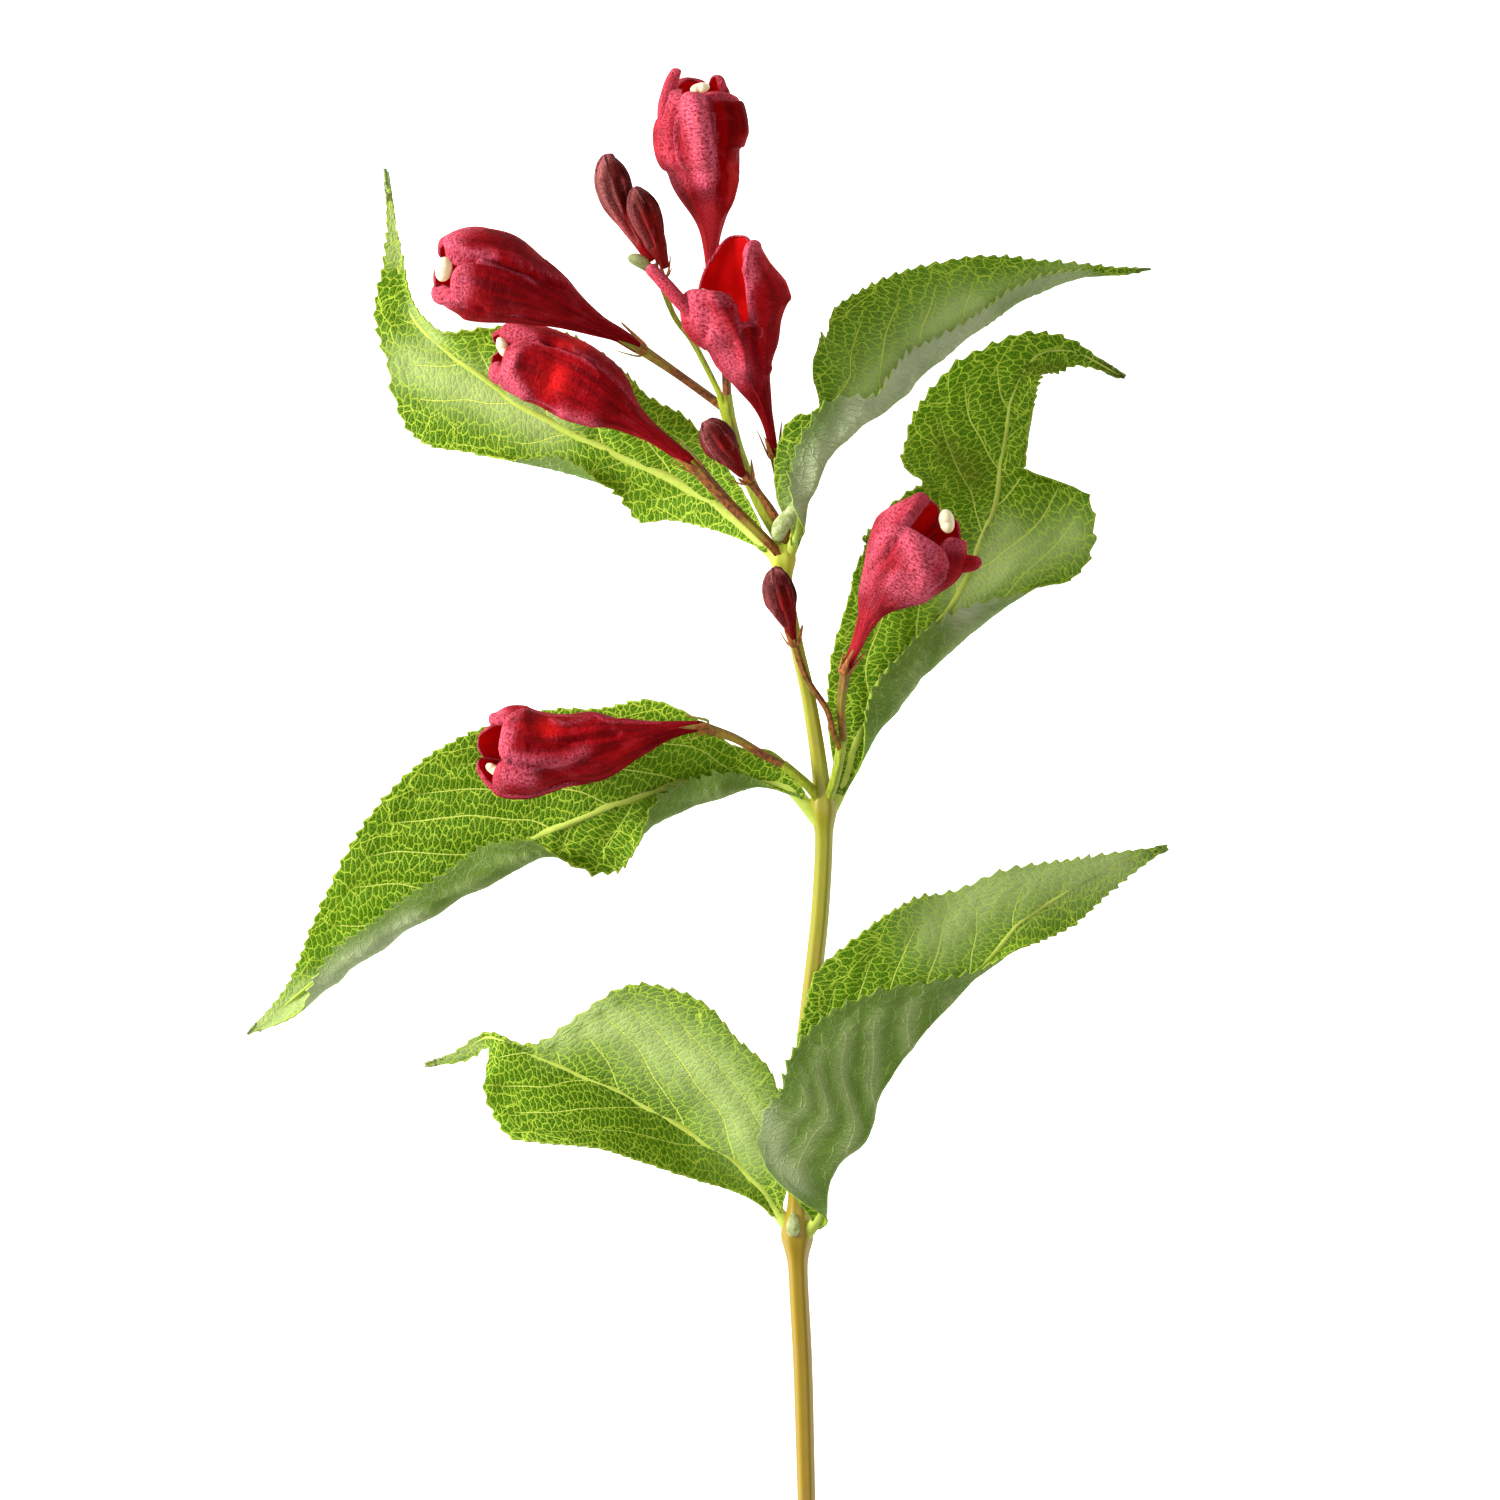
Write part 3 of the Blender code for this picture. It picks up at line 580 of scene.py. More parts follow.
leaf("leaf_lower_right", root=(13.4, -61.6, 9.2, 1.05), roll=0.9, seed=12, Vein_depth=0.14,
    midrib=[(15.8, -60.2, 11), (16.2, -58, 12.2), (16.4, -55, 13.3), (17.5, -51, 14.3),
        (20, -47, 14.7), (25, -39, 15), (31, -31, 14.3), (40, -22, 11), (44.5, -17, 9),
        (50, -13.5, 6.5), (57, -9.7, 3.5), (65, -6.7, .8)],
    left=[(0, .6, 0), (.1, 6, 5), (.2, 10, 5), (.32, 14.6, 5), (.38, 16.4, 5), (.45, 15.3, 5),
        (.54, 14, 5), (.61, 12, 2), (.67, 8.8, 0), (.76, 5.8, 0), (.86, 2.8, 0), (1, .3, 0)],
    right=[(0, .5, 0), (.05, .5, 0, 120, 2.5), (.1, .5, 0, 165, 9), (.15, 1.2, 0, 168, 12.5),
        (.2, 2.2, 0, 165, 13.5), (.26, .8, 0, 165, 13.5), (.33, .5, 0, 165, 12.5),
        (.4, .5, 0, 165, 9.2), (.48, .5, 0, 160, 4), (.56, .6, 0, 120, 1), (.62, 1.4, 0, 80, .8),
        (.68, 3.4, 0, 20, .5), (.76, 4.4, 0), (.86, 3, 0), (1, .3, 0)],
    pale=[(1, 5, [(33, -18), (38, -13.5), (46, -10.5), (57, -8.5)]),
        (.7, 2, [(8.6, -44), (9.5, -50), (12.5, -54)])])
leaf("leaf_middle_left", root=(15.9, -3.0, 16.6, 1.1), roll=2.0, seed=13, thick=1.0,
    midrib=[(13.7, .7, 17.6), (10, 2.2, 16.7), (4, 3, 15.5), (-5.2, 1.8, 13.5), (-14, -1.1, 12),
        (-22.9, -4.8, 10.5), (-31, -8.6, 9.3), (-40, -13.5, 7.8), (-49, -20, 5.3), (-57, -27, 2.6),
        (-64.7, -33.1, .7)],
    left=[(0, .5, 0), (.08, .8, 0, 150, 1), (.14, 2.5, 0, 165, 1.6), (.2, 3.2, 0, 165, 1.6),
        (.26, 4.4, 0, 120, 1.2), (.3, 6.6, -10, 30, 1), (.345, 8.8, -15, 10, 1),
        (.38, 7.6, -15, 20, 1), (.42, 3.4, 0, 120, 1.6), (.48, 2.8, 0, 165, 2.6),
        (.6, 2.9, 0, 165, 2.5), (.7, 2.7, 0, 165, 2), (.85, 1.8, 0, 150, 1.2),
        (.93, 1.8, 0, 60, .5), (1, .3, 0)],
    right=[(0, .5, 0), (.06, 4.4, 20), (.11, 4.6, 25), (.16, 9.2, 20), (.2, 12, 15), (.27, 13.2, 8),
        (.35, 15.8, 6), (.44, 17, 6), (.55, 16.4, 6), (.62, 14.2, 6), (.7, 10.7, 5), (.8, 6.1, 5),
        (.9, 2, 5), (1, .3, 0)],
    pale=[(.9, 2.0, [(-41, -17.6), (-49, -22.4), (-55, -26.8)]),
        (1, 2.2, [(-57, -27.5), (-63, -32)])])
leaf("leaf_middle_right", root=(16.5, -3.0, 16.7, 1.1), roll=1.8, seed=14,
    midrib=[(18.9, .8, 17), (19.8, 3.5, 16), (21.8, 10, 14.5), (24.8, 17, 13), (30, 22.5, 12),
        (35, 28, 11), (38, 35, 10.5), (40.5, 41.7, 10), (42, 51, 8.8), (43.7, 58.5, 6.5),
        (46.5, 62.3, 4.5), (51, 63.3, 2.6), (59, 59.5, .7)],
    left=[(0, .5, 0), (.1, 4.5, 0), (.2, 7.8, 0), (.28, 12.2, 0), (.36, 15, 0), (.46, 14.8, 5),
        (.52, 12.2, 10), (.56, 10.5, 20), (.59, 13.2, 15), (.65, 13.6, 10), (.7, 12.6, 6),
        (.75, 10, 5), (.8, 5.9, 0), (.86, 2.6, 0), (.92, 1.1, 0), (1, .3, 0)],
    right=[(0, .5, 0), (.08, 1.6, 0, 120, .8), (.15, 3, 0, 165, 2), (.22, 4, 0, 165, 2.9),
        (.33, 3.9, 0, 165, 2.6), (.4, 5.7, 0, 150, 1.8), (.45, 9.3, 0, 80, 1.2),
        (.49, 13.4, 0, 20, .6), (.53, 14.9, 0, 5, .4), (.57, 14.2, 0, 5, .4),
        (.592, 12.9, 0, 5, .4), (.607, 10.6, 0, 5, .4), (.616, 4.2, 10, 40, .6),
        (.63, 3.3, 10, 60, .8), (.66, 3, 10, 90, 1.5), (.75, 2.8, 10, 60, 1), (.81, 2.2, 0, 30, .5),
        (.87, 3.1, 0), (.93, 1.4, 0), (1, .3, 0)],
    pale=[(.8, 3.5, [(36, 29), (43, 33.5), (51, 37)]), (.6, 2.5, [(36, 26), (42, 38)])],
    brown=[(.55, 2.2, [(33.5, 49.6), (37.8, 45.4)]), (.5, 1.0, [(45.6, 60.6), (49.6, 60.9)]),
        (1, 1.1, [(56.4, 61.2), (59, 59.5)])])
leaf("leaf_upper_left", root=(11.3, 32.6, 21.6, 0.9), roll=1.3, seed=15, thick=1.1,
    midrib=[(8.5, 35.1, 21.2), (5, 38.5, 18.5), (1, 41.5, 16.5), (-4, 44.5, 14.8),
        (-10, 47.3, 13.5), (-18, 51, 12.2), (-26, 55.3, 10.8), (-33, 60.5, 9), (-38.5, 64.7, 7),
        (-42, 69.5, 4.8), (-43.7, 77, 2.6), (-45.2, 89, .7)],
    left=[(0, .5, 0), (.06, 2.1, -10), (.12, 3.5, -10), (.18, 5.1, -10), (.24, 7.2, -10),
        (.28, 5, -10, 30, .6), (.34, 4.7, 0, 130, .8), (.4, 5.6, 0, 150, .9), (.46, 7.2, 0, 90, .8),
        (.52, 9.4, 0, 20, .4), (.565, 11.8, 0), (.64, 11.6, 0), (.7, 7.2, 0), (.77, 4.6, 0),
        (.82, 2.6, 0), (.9, .8, 0), (1, .25, 0)],
    right=[(0, .5, 0), (.1, 3.9, 10), (.16, 5.9, 10), (.24, 8.8, 8), (.3, 9.1, 5), (.36, 11, 2),
        (.42, 12, 0), (.52, 11.3, 0), (.58, 8.3, 10, 20, 0), (.63, 4.2, 20, 60, .5),
        (.67, 1.7, 20, 70, .4), (.72, .9, 20, 70, .3), (.8, .7, 20, 60, .2), (.9, .5, 10),
        (1, .2, 0)],
    pale=[(.9, 3.4, [(-42, 61.4), (-36, 58.6), (-28, 55.4), (-22, 52.6)]),
        (.8, 1.2, [(-44, 76), (-45, 88)]), (.7, 1.6, [(-40.5, 69), (-38, 65)])])
leaf("leaf_upper_right", root=(11.1, 33.0, 21.9, 0.9), roll=0.8, seed=16,
    midrib=[(12.4, 35.5, 24), (13.1, 38.3, 25.4), (13.6, 41.5, 27), (15.2, 45.5, 28.3),
        (17.2, 49, 28.3), (20.5, 52.3, 27.2), (24.8, 55, 25), (31, 61, 20.5), (37, 66, 15.5),
        (43, 70.5, 10.8), (51, 73.7, 5.5), (62.6, 74.8, .8)],
    left=[(0, .5, 0), (.04, 1.6, 5), (.08, 3.6, 5), (.12, 5.3, 0), (.16, 6.3, 0), (.2, 6.7, 0),
        (.24, 5.0, 0), (.275, 10.5, -5), (.31, 13, -8), (.36, 12.6, -8), (.41, 14.5, -5),
        (.47, 13.8, -5), (.55, 12.2, -3), (.65, 9, 0), (.72, 5.9, 0), (.8, 2.8, 0), (.9, .9, 0),
        (1, .25, 0)],
    right=[(0, .5, 0), (.07, .5, 0, 130, 1.5), (.12, .6, 0, 160, 3), (.2, .7, 0, 165, 4.4),
        (.25, .5, 0, 165, 4.8), (.31, .7, 0, 160, 2.2), (.38, .6, 0, 160, 3), (.44, .5, 0, 165, 3),
        (.5, .6, 0, 165, 2), (.6, .8, 0, 160, 1.2), (.78, .8, 0, 160, 1.1), (.86, .5, 0, 140, .7),
        (1, .25, 0)],
    pale=[(1.1, 3.1, [(22.5, 55.5), (27, 59.5)]), (1.1, 3.3, [(32, 64), (37.5, 68.5)]),
        (.7, 2, [(42, 71.5), (52, 74.4)]), (.9, 2.6, [(12, 40), (14.5, 46.5), (21, 53)]),
        (.3, 5, [(24, 61), (34, 68)])])

# ---------------------------------------------------------------------------
# The green stalks that carry the flowers: the top cluster's stalk with its bud
# branch, and one short stalk in each axil of the middle joint.

STALK_SEAT = 0.6         # mm that a stalk runs on into what it bears

green_stalk, green, streaks = grained_finish("green_stalk", 2400.0, 4.0, 0.6, 0.2)
patches = green.noise(green.place(), 260.0)
tone = green.blend(green.ease(streaks, 0.3, 0.7), rgb(176, 190, 30), rgb(128, 148, 16))
tone = green.blend(green.ease(patches, 0.52, 0.75) * 0.45, tone, rgb(140, 100, 30))
green.skin(tone, 0.45 + streaks * 0.15, streaks, 0.03, through=rgb(170, 190, 40), share=0.12)


def flower_stalk(name, source, rows, finish, rib_depth):
    """A stalk along rows whose foot bends into source, a place inside what carries it."""
    rows = np.array([(*source, rows[0][3]), *rows], float)
    way = rows[-1, :3] - rows[-2, :3]
    rows[-1, :3] += way / np.linalg.norm(way) * STALK_SEAT
    made = stalk(name + "_skin", rows, finish, step=0.3, Ribs=5, Rib_depth=rib_depth)
    belongs(made, name)


for name, source, rows in (
    ("cluster_stalk", (10.7, 34.2, 22.1), [
        (10.4, 36.1, 22.2, 1.0), (7.4, 41.6, 22.6, .9), (4.7, 48, 23.3, .85), (3.2, 53, 23.7, .95),
        (2.6, 55.8, 24, 1.1)]),
    ("bud_branch", (2.8, 54.6, 24.3), [
        (1.75, 56.9, 25.0, .42), (-2, 64.1, 25.6, .42), (-4.3, 67.2, 26.2, .4),
        (-7, 74.1, 27.1, .45)]),
    ("left_axil_stalk", (16.1, -.6, 17.3), [
        (14.5, 1.7, 18.9, .7), (12.6, 3.5, 19.9, .65), (11.2, 4.6, 20.3, .7)]),
    ("right_axil_stalk", (16.6, -.8, 17.3), [
        (17.7, 2.0, 18.8, .7), (18.4, 4.8, 19.8, .7), (18.9, 7.8, 20.5, .75)]),
):
    flower_stalk(name, source, rows, green_stalk, 0.07)

# ---------------------------------------------------------------------------
# The ovaries: below each flower its ovary is long, thin and ribbed, and looks
# like a red-brown stalk. It ends in a calyx of five narrow green-brown teeth.

red_stalk, red, streaks = grained_finish("red_stalk", 1500.0, 4.0, 0.65)
patches = red.noise(red.place(), 170.0)
tone = red.blend(red.ease(streaks, 0.3, 0.7), rgb(152, 88, 32), rgb(74, 38, 10))
tone = red.blend(red.ease(patches, 0.45, 0.7) * 0.75, tone, rgb(136, 130, 30))
red.skin(tone, 0.5 + streaks * 0.15, streaks, 0.03, Specular_IOR_Level=0.3)

for name, source, rows in (
    ("ovary_top", (2.9, 54.4, 24.0), [
        (2.9, 56.6, 23.4, .6), (2.6, 62, 22, .6), (1.8, 67, 21.4, .7), (1.2, 71.6, 21.4, .85)]),
    ("ovary_front", (10.9, 35.4, 22.4), [
        (11.4, 38.3, 22.9, .6), (11, 41, 23.2, .62), (10.2, 45, 24.2, .65),
        (9.5, 48.6, 25.3, .75)]),
    ("ovary_upper_left", (3.0, 54.2, 23.9), [
        (.7, 56.0, 23.7, .6), (-4.2, 59.5, 25.4, .6), (-9.2, 62.9, 26.3, .8)]),
    ("ovary_left", (10.7, 33.6, 22.6), [
        (8.8, 35.8, 23.9, .65), (3, 41.5, 24, .75), (-1.7, 46.7, 23.8, .95)]),
    ("ovary_right", (18.8, 6.6, 20.3), [
        (19.1, 8.7, 20.8, .55), (18.8, 13, 21.9, .62), (19.5, 18.4, 22.6, .75)]),
    ("ovary_middle_left", (12.2, 3.8, 20.1), [
        (10.7, 4.9, 20.5, .55), (8, 6.3, 20.9, .55), (4, 8.6, 21.2, .6), (-.4, 10.1, 21.5, .8)]),
    ("bud_stalk_small", (10.9, 35.8, 22.6), [
        (9.7, 39.4, 24.6, .55), (7.5, 42.6, 25.1, .5), (5.6, 45, 25.4, .6)]),
    ("bud_stalk_stem", (18.9, 6.8, 20.5), [
        (17.8, 9.3, 21.8, .42), (16.9, 12.5, 22.5, .42), (14.0, 17, 23.4, .45),
        (12.2, 22.2, 24.1, .55)]),
):
    flower_stalk(name, source, rows, red_stalk, 0.1)

calyx_skin, sepal, streaks = grained_finish("calyx_skin", 1800.0, 3.0, 0.6)
patches = sepal.noise(sepal.place(), 300.0)
tone = sepal.blend(sepal.ease(streaks, 0.3, 0.7), rgb(196, 124, 66), rgb(138, 70, 28))
tone = sepal.blend(sepal.ease(patches, 0.45, 0.65), tone, rgb(140, 146, 56))
sepal.skin(tone, 0.55, streaks, 0.02, through=rgb(190, 150, 60), share=0.15, Specular_IOR_Level=0.2)
TEETH, TOOTH_ROWS, TOOTH_SIDES = 5, 15, 8   # of a calyx


def shaped_object(name, shape, finish):
    """A piece from a bmesh in metres, which it frees."""
    mesh = bpy.data.meshes.new(name)
    shape.to_mesh(mesh)
    shape.free()
    mesh.shade_smooth()
    mesh.materials.append(finish)
    return placed(name, mesh)


def calyx(name, node, base, way, length, girth, seed, width=0.5):
    """Five narrow teeth that clasp a flower's base.

    girth is the flower's radius at their foot and at their tips.
    """
    chance = np.random.default_rng(seed)
    way = np.array(way, float) / np.linalg.norm(way)
    side = np.cross([0.0, 0.0, 1.0], way)
    side /= np.linalg.norm(side)
    up = np.cross(way, side)
    ring = np.linspace(0, 2 * math.pi, TOOTH_SIDES, endpoint=False)
    t = np.linspace(0, 1, TOOTH_ROWS)[:, None, None]
    pieces = bmesh.new()
    for k in range(TEETH):
        turn = math.radians(360 / TEETH * k + chance.uniform(-14, 14))
        out = math.cos(turn) * side + math.sin(turn) * up
        around = -math.sin(turn) * side + math.cos(turn) * up
        reach = length * chance.uniform(0.75, 1.1)
        taper = np.maximum((1 - t) ** 0.6, 0.03)
        spread = (girth[0] - 0.3 + (girth[1] - girth[0] + 0.5) * t**0.6
                  + chance.uniform(-0.1, 0.4) * t**3)
        middle = (np.array(base) + way * (t * reach - 0.9) + out * spread
                  + around * chance.uniform(-0.3, 0.3) * t**2)
        tooth = (middle + around * width * taper * np.cos(ring)[None, :, None]
                 + out * 0.17 * taper * np.sin(ring)[None, :, None])
        rows = [[pieces.verts.new((corner - MIDDLE) * MM) for corner in row] for row in tooth]
        for low, high in zip(rows, rows[1:]):
            for m in range(TOOTH_SIDES):
                n = (m + 1) % TOOTH_SIDES
                pieces.faces.new((low[m], low[n], high[n], high[m]))
        pieces.faces.new(rows[0][::-1])
        pieces.faces.new(rows[-1])
    bmesh.ops.recalc_face_normals(pieces, faces=pieces.faces)
    belongs(shaped_object(name, pieces, calyx_skin), node)


for seed, (name, node, base, way, length, girth) in enumerate((
    ("calyx_top", "ovary_top", (1.2, 71.6, 21.4), (-.1, 3, .3), 4.4, (.95, 1.3)),
    ("calyx_front", "ovary_front", (9.5, 48.4, 25.4), (-.5, 3, 1), 5.2, (.8, 1.5)),
    ("calyx_upper_left", "ovary_upper_left", (-9.2, 62.9, 26.3), (-3, 1.9, 1), 5.4, (.9, 1.9)),
    ("calyx_left", "ovary_left", (-1.7, 46.7, 23.8), (-3, 2.5, -.1), 5, (1.0, 1.5)),
    ("calyx_right", "ovary_right", (19.5, 18.3, 22.6), (.8, 1.6, .1), 4.2, (.8, 1.2)),
    ("calyx_middle_left", "ovary_middle_left", (-.4, 10.4, 21.5), (-3, -.3, .2), 4.4, (.8, 1.5)),
    ("calyx_bud_small", "bud_stalk_small", (5.6, 45, 25.4), (-1.2, 1.6, .8), 2.8, (.75, 2.1)),
    ("calyx_bud_stem", "bud_stalk_stem", (12.2, 22.3, 24.3), (-.5, 3, .5), 3.2, (.65, 1.6)),
)):
    calyx(name, node, base, way, length, girth, 70 + seed)
for seed, (name, base, way) in enumerate((
    ("calyx_bud_tip", (-7.4, 74.4, 27.2), (-1.2, 2.4, .5)),
    ("calyx_bud_second", (-5.7, 73.6, 28.2), (-.3, 3, 1.8)),
)):
    calyx(name, "bud_branch", base, way, 2.8, (.5, 1.1), 80 + seed, width=0.26)

# ---------------------------------------------------------------------------
# The blooms: each is a velvety funnel of five fused petals whose lobes stand
# one over the next around a half-shut mouth, with a cream stigma on its style.

PETAL_WALL = 0.26        # mm
RIM_ROLL = 0.34          # mm, radius of a lobe's rolled rim
MAP_RADIUS = 4.2         # mm, the tube radius that the maps of a bloom are laid out for
MARGIN_TURN, TIP_TURN = 2.6, 2.5   # radians that a lobe's rolled margins and tip turn through
TUBE_ROWS, LOBE_ROWS, LOBE_COLUMNS, ROLL_STEPS = 46, 44, 20, 4   # of the grid of each petal
LINE_POINTS = 400        # along the middle of a bloom
HILL_WAVES = 7           # that add up to one uneven surface


def petal_finish(name, deep, mid, nap_and_highlight, painted_glow, rough, glow, share, nap_and_highlight_weight, depth):
    """Velvet tissue: long veins in the skin and a pale, speckled nap on the ridges and rims.

    The nap is partly the velvet's own tone and partly a painted highlight, which the tint map
    lays thickest where the light falls. The map "tint" says where the nap is thick, and where
    a bright red is painted in as a painted glow, for light shining through thin tissue. share
    is the part of the light that comes through as glow, and depth the height of the relief.
    """
    made, velvet = new_finish(name)
    run, around = velvet.map_pair("petal")
    run, around = run * MAP_SPAN, around * MAP_SPAN
    rim = velvet.map_pair("rim")[1]
    nap_and_highlight_share, painted_glow_share = velvet.map_pair("tint")
    flat = velvet.vector(run, around)
    drift = velvet.noise(flat, 0.4)
    speckle = velvet.noise(flat, 3.3, 4.0, 0.7)
    dimples = velvet.noise(flat, 0.9)
    veins = velvet.noise(velvet.vector(run * 0.07, around * 1.3), 1.0)
    tone = velvet.blend(velvet.ease(veins + drift * 0.4, 0.45, 0.9), deep, mid)
    # painted glow: a bright red painted where light shines through thin tissue
    tone = velvet.blend(painted_glow_share, tone, painted_glow)
    # the pale nap, partly the velvet's own tone and partly a painted highlight on the lit sides and
    # rims
    cover = nap_and_highlight_share + velvet.ease(rim, 0.3, 1.0) * 0.5 + velvet.ease(drift, 0.5, 0.8) * 0.15
    cover = velvet.math("MINIMUM", cover, 1.0)
    tone = velvet.blend(cover * velvet.ease(speckle, 0.4, 0.6, 0.3, 1.0) * nap_and_highlight_weight, tone, nap_and_highlight)
    tone = velvet.blend(velvet.ease(speckle, 0.36, 0.47, 1.0, 0.0) * 0.55, tone, deep)
    velvet.skin(tone, rough + speckle * 0.15, speckle * 1.2 + veins * 1.5 + dimples * 2.0, depth,
                through=glow, share=share, Specular_IOR_Level=0.03)
    return made


petal_outer = petal_finish(
    "crimson_petal_outer", deep=rgb(104, 0, 2), mid=rgb(170, 2, 8), nap_and_highlight=rgb(248, 112, 136),
    painted_glow=rgb(250, 30, 26), rough=0.55, glow=rgb(226, 2, 4), share=0.2, nap_and_highlight_weight=0.95, depth=0.2)
petal_inner = petal_finish(
    "crimson_petal_inner", deep=rgb(200, 12, 12), mid=rgb(236, 20, 20), nap_and_highlight=rgb(240, 60, 70),
    painted_glow=rgb(240, 10, 16), rough=0.45, glow=rgb(246, 8, 10), share=0.42, nap_and_highlight_weight=0.2, depth=0.05)


def soft_step(value, low, high):
    """0 below low, 1 above high and a soft slope between them."""
    t = np.clip((value - low) / (high - low), 0, 1)
    return t * t * (3 - 2 * t)


def hills(x, y, seed):
    """Smooth, gentle unevenness from -1 to 1 over two coordinates."""
    chance = np.random.default_rng(seed)
    total = 0.0
    for _ in range(HILL_WAVES):
        turn, tone, start = (chance.uniform(0, 2 * math.pi), chance.uniform(0.6, 1.6),
                             chance.uniform(0, 6.3))
        total = total + np.sin((x * math.cos(turn) + y * math.sin(turn)) * tone + start)
    return total / HILL_WAVES ** 0.5 / 1.4


def read(table, t):
    """The rows of a table at shares t of its length."""
    at = np.linspace(0, 1, len(table))
    return np.stack([np.interp(t, at, column) for column in table.T], -1)


def bloom(name, rows, lobes, split, seed, marks=(), nap_and_highlight=(), painted_glow=(), pleat=0.15,
          wall=PETAL_WALL, finishes=(petal_outer, petal_inner), wrinkle=0.3, roll=RIM_ROLL,
          lap=6):
    """A corolla around rows (x, y, z, half width, half depth) that opens past split into lobes.

    A row without a half depth is round there. Each lobe is the first and last angle of its
    strip, where it ends along the rows, how high its first and last margins lie, its tip's
    flare, and the radius that its tip is rolled in to. Marks are ridges and furrows over the
    upper side. The nap lines are where the pale nap is thick, partly the velvet's own tone and
    partly a painted highlight on the lit sides; the bright lines are a painted glow, for light
    shining through thin tissue. Pleat is the height of the seams between petals, wrinkle that
    of the unevenness of the skin, roll the radius of a lobe's rolled margins, and lap the
    degrees that each of them reaches on by.
    """
    line, length = along([(*row, row[3])[:5] for row in rows], LINE_POINTS)
    forward, side, up = frames(line[:, :3])
    points, faces, petal, rim, tint = [], [], [], [], []
    steps = np.arange(1, ROLL_STEPS + 1) / ROLL_STEPS
    w = np.pad(np.linspace(-1, 1, LOBE_COLUMNS + 1), ROLL_STEPS, "edge")
    over_w = np.concatenate([-steps[::-1], np.zeros(LOBE_COLUMNS + 1), steps]) * MARGIN_TURN * roll
    s = np.concatenate([np.linspace(-1, 0, TUBE_ROWS)[:-1], np.linspace(0, 1, LOBE_ROWS),
                        np.ones(2 * ROLL_STEPS)])
    steps = np.arange(1, 2 * ROLL_STEPS + 1) / 2 / ROLL_STEPS
    over_tip = np.concatenate([np.zeros(TUBE_ROWS - 1 + LOBE_ROWS), steps * TIP_TURN])
    s, w = np.meshgrid(s, w, indexing="ij")
    over_tip, over_w = np.meshgrid(over_tip, over_w, indexing="ij")
    free = np.clip(s, 0, 1)
    ends = 1 - 0.26 * (1 - np.sqrt(np.maximum(1 - np.abs(w) ** 3.2, 0)))
    open_ = soft_step(free, 0, 0.4)
    inner_w = np.where(s < 0.02, 1 - np.abs(w) ** 6, 1)
    edge = np.maximum(np.abs(w) ** 7, free**7) * np.clip(free * 4, 0, 1)
    for number, (first, last, tip, low, high, flare, tip_roll) in enumerate(lobes):
        over_s = over_tip * tip_roll
        t = np.where(s < 0, split * (1 + s), split + (tip - split) * free * ends)
        centre, half = (first + last) / 2, (last - first) / 2
        angle = np.radians(centre + w * (half + lap * open_))
        here, sideways, upward = (read(table, t) for table in (line, side, up))
        width, depth = here[..., 3], here[..., 4]
        grown = soft_step(t, 0.1, 0.35)
        uneven = hills(t * length * 0.5, np.degrees(angle) / 20, seed + number * 9)
        out = (low + (high - low) * (w + 1) / 2) * open_
        out = out + pleat * np.exp(-((1 - np.abs(w)) / 0.2) ** 2) * grown * (1 - open_)
        out = out + 0.3 * (1 - w**2) * open_ + flare * free**2
        out = out + wrinkle * grown * inner_w * uneven
        beyond = np.hypot(over_s, over_w)
        share = np.maximum(beyond, 1e-9)
        radius = (roll * over_w**2 + tip_roll * over_s**2) / share**2 + 1e-6
        curl = beyond * np.clip(free * 6, 0, 1) / radius
        reach = radius * np.sin(curl)
        out = out - radius * (1 - np.cos(curl))
        angle = angle + reach * over_w / share / np.maximum(width, 1.5)
        ahead = reach * over_s / share
        outward = np.cos(angle)[..., None] * sideways + np.sin(angle)[..., None] * upward
        spot = (here[..., :3] + ((width + out) * np.cos(angle))[..., None] * sideways
                + ((depth + out) * np.sin(angle))[..., None] * upward
                + ahead[..., None] * read(forward, t))
        if marks:
            drawn = (near_line(spot[..., 0], spot[..., 1], marks)
                     * soft_step(np.sin(angle), -0.1, 0.35))
            spot = spot + (drawn * grown)[..., None] * outward
        faces.append(grid_faces(*t.shape, number * t.size)[:, [0, 3, 2, 1]])
        points.append(spot)
        petal.append(np.stack([(t * length + over_s) / MAP_SPAN,
                               0.5 + (angle * MAP_RADIUS + over_w) / MAP_SPAN], -1))
        upper = soft_step(np.sin(angle), -0.25, 0.2)
        # The tint map: the pale nap, partly a painted highlight on the lit sides, and the painted
        # glow of light through thin tissue.
        tints = [near_line(spot[..., 0], spot[..., 1], table) * upper + least
                 for table, least in ((nap_and_highlight, 0.04), (painted_glow, 0.0))]
        tint.append(np.clip(np.stack(tints, -1), 0, 1))
        rim.append(np.stack([free, edge], -1))
    made = mesh_object(name + "_petals", np.concatenate(points), np.concatenate(faces), finishes, {
        "petal": np.concatenate(petal), "rim": np.concatenate(rim), "tint": np.concatenate(tint)})
    joined = bmesh.new()
    joined.from_mesh(made.data)
    bmesh.ops.remove_doubles(joined, verts=joined.verts, dist=0.002 * MM)
    bmesh.ops.dissolve_degenerate(joined, edges=joined.edges, dist=0.002 * MM)
    joined.to_mesh(made.data)
    joined.free()
    made.data.shade_smooth()
    add_wall(made, wall)
    belongs(made, name)


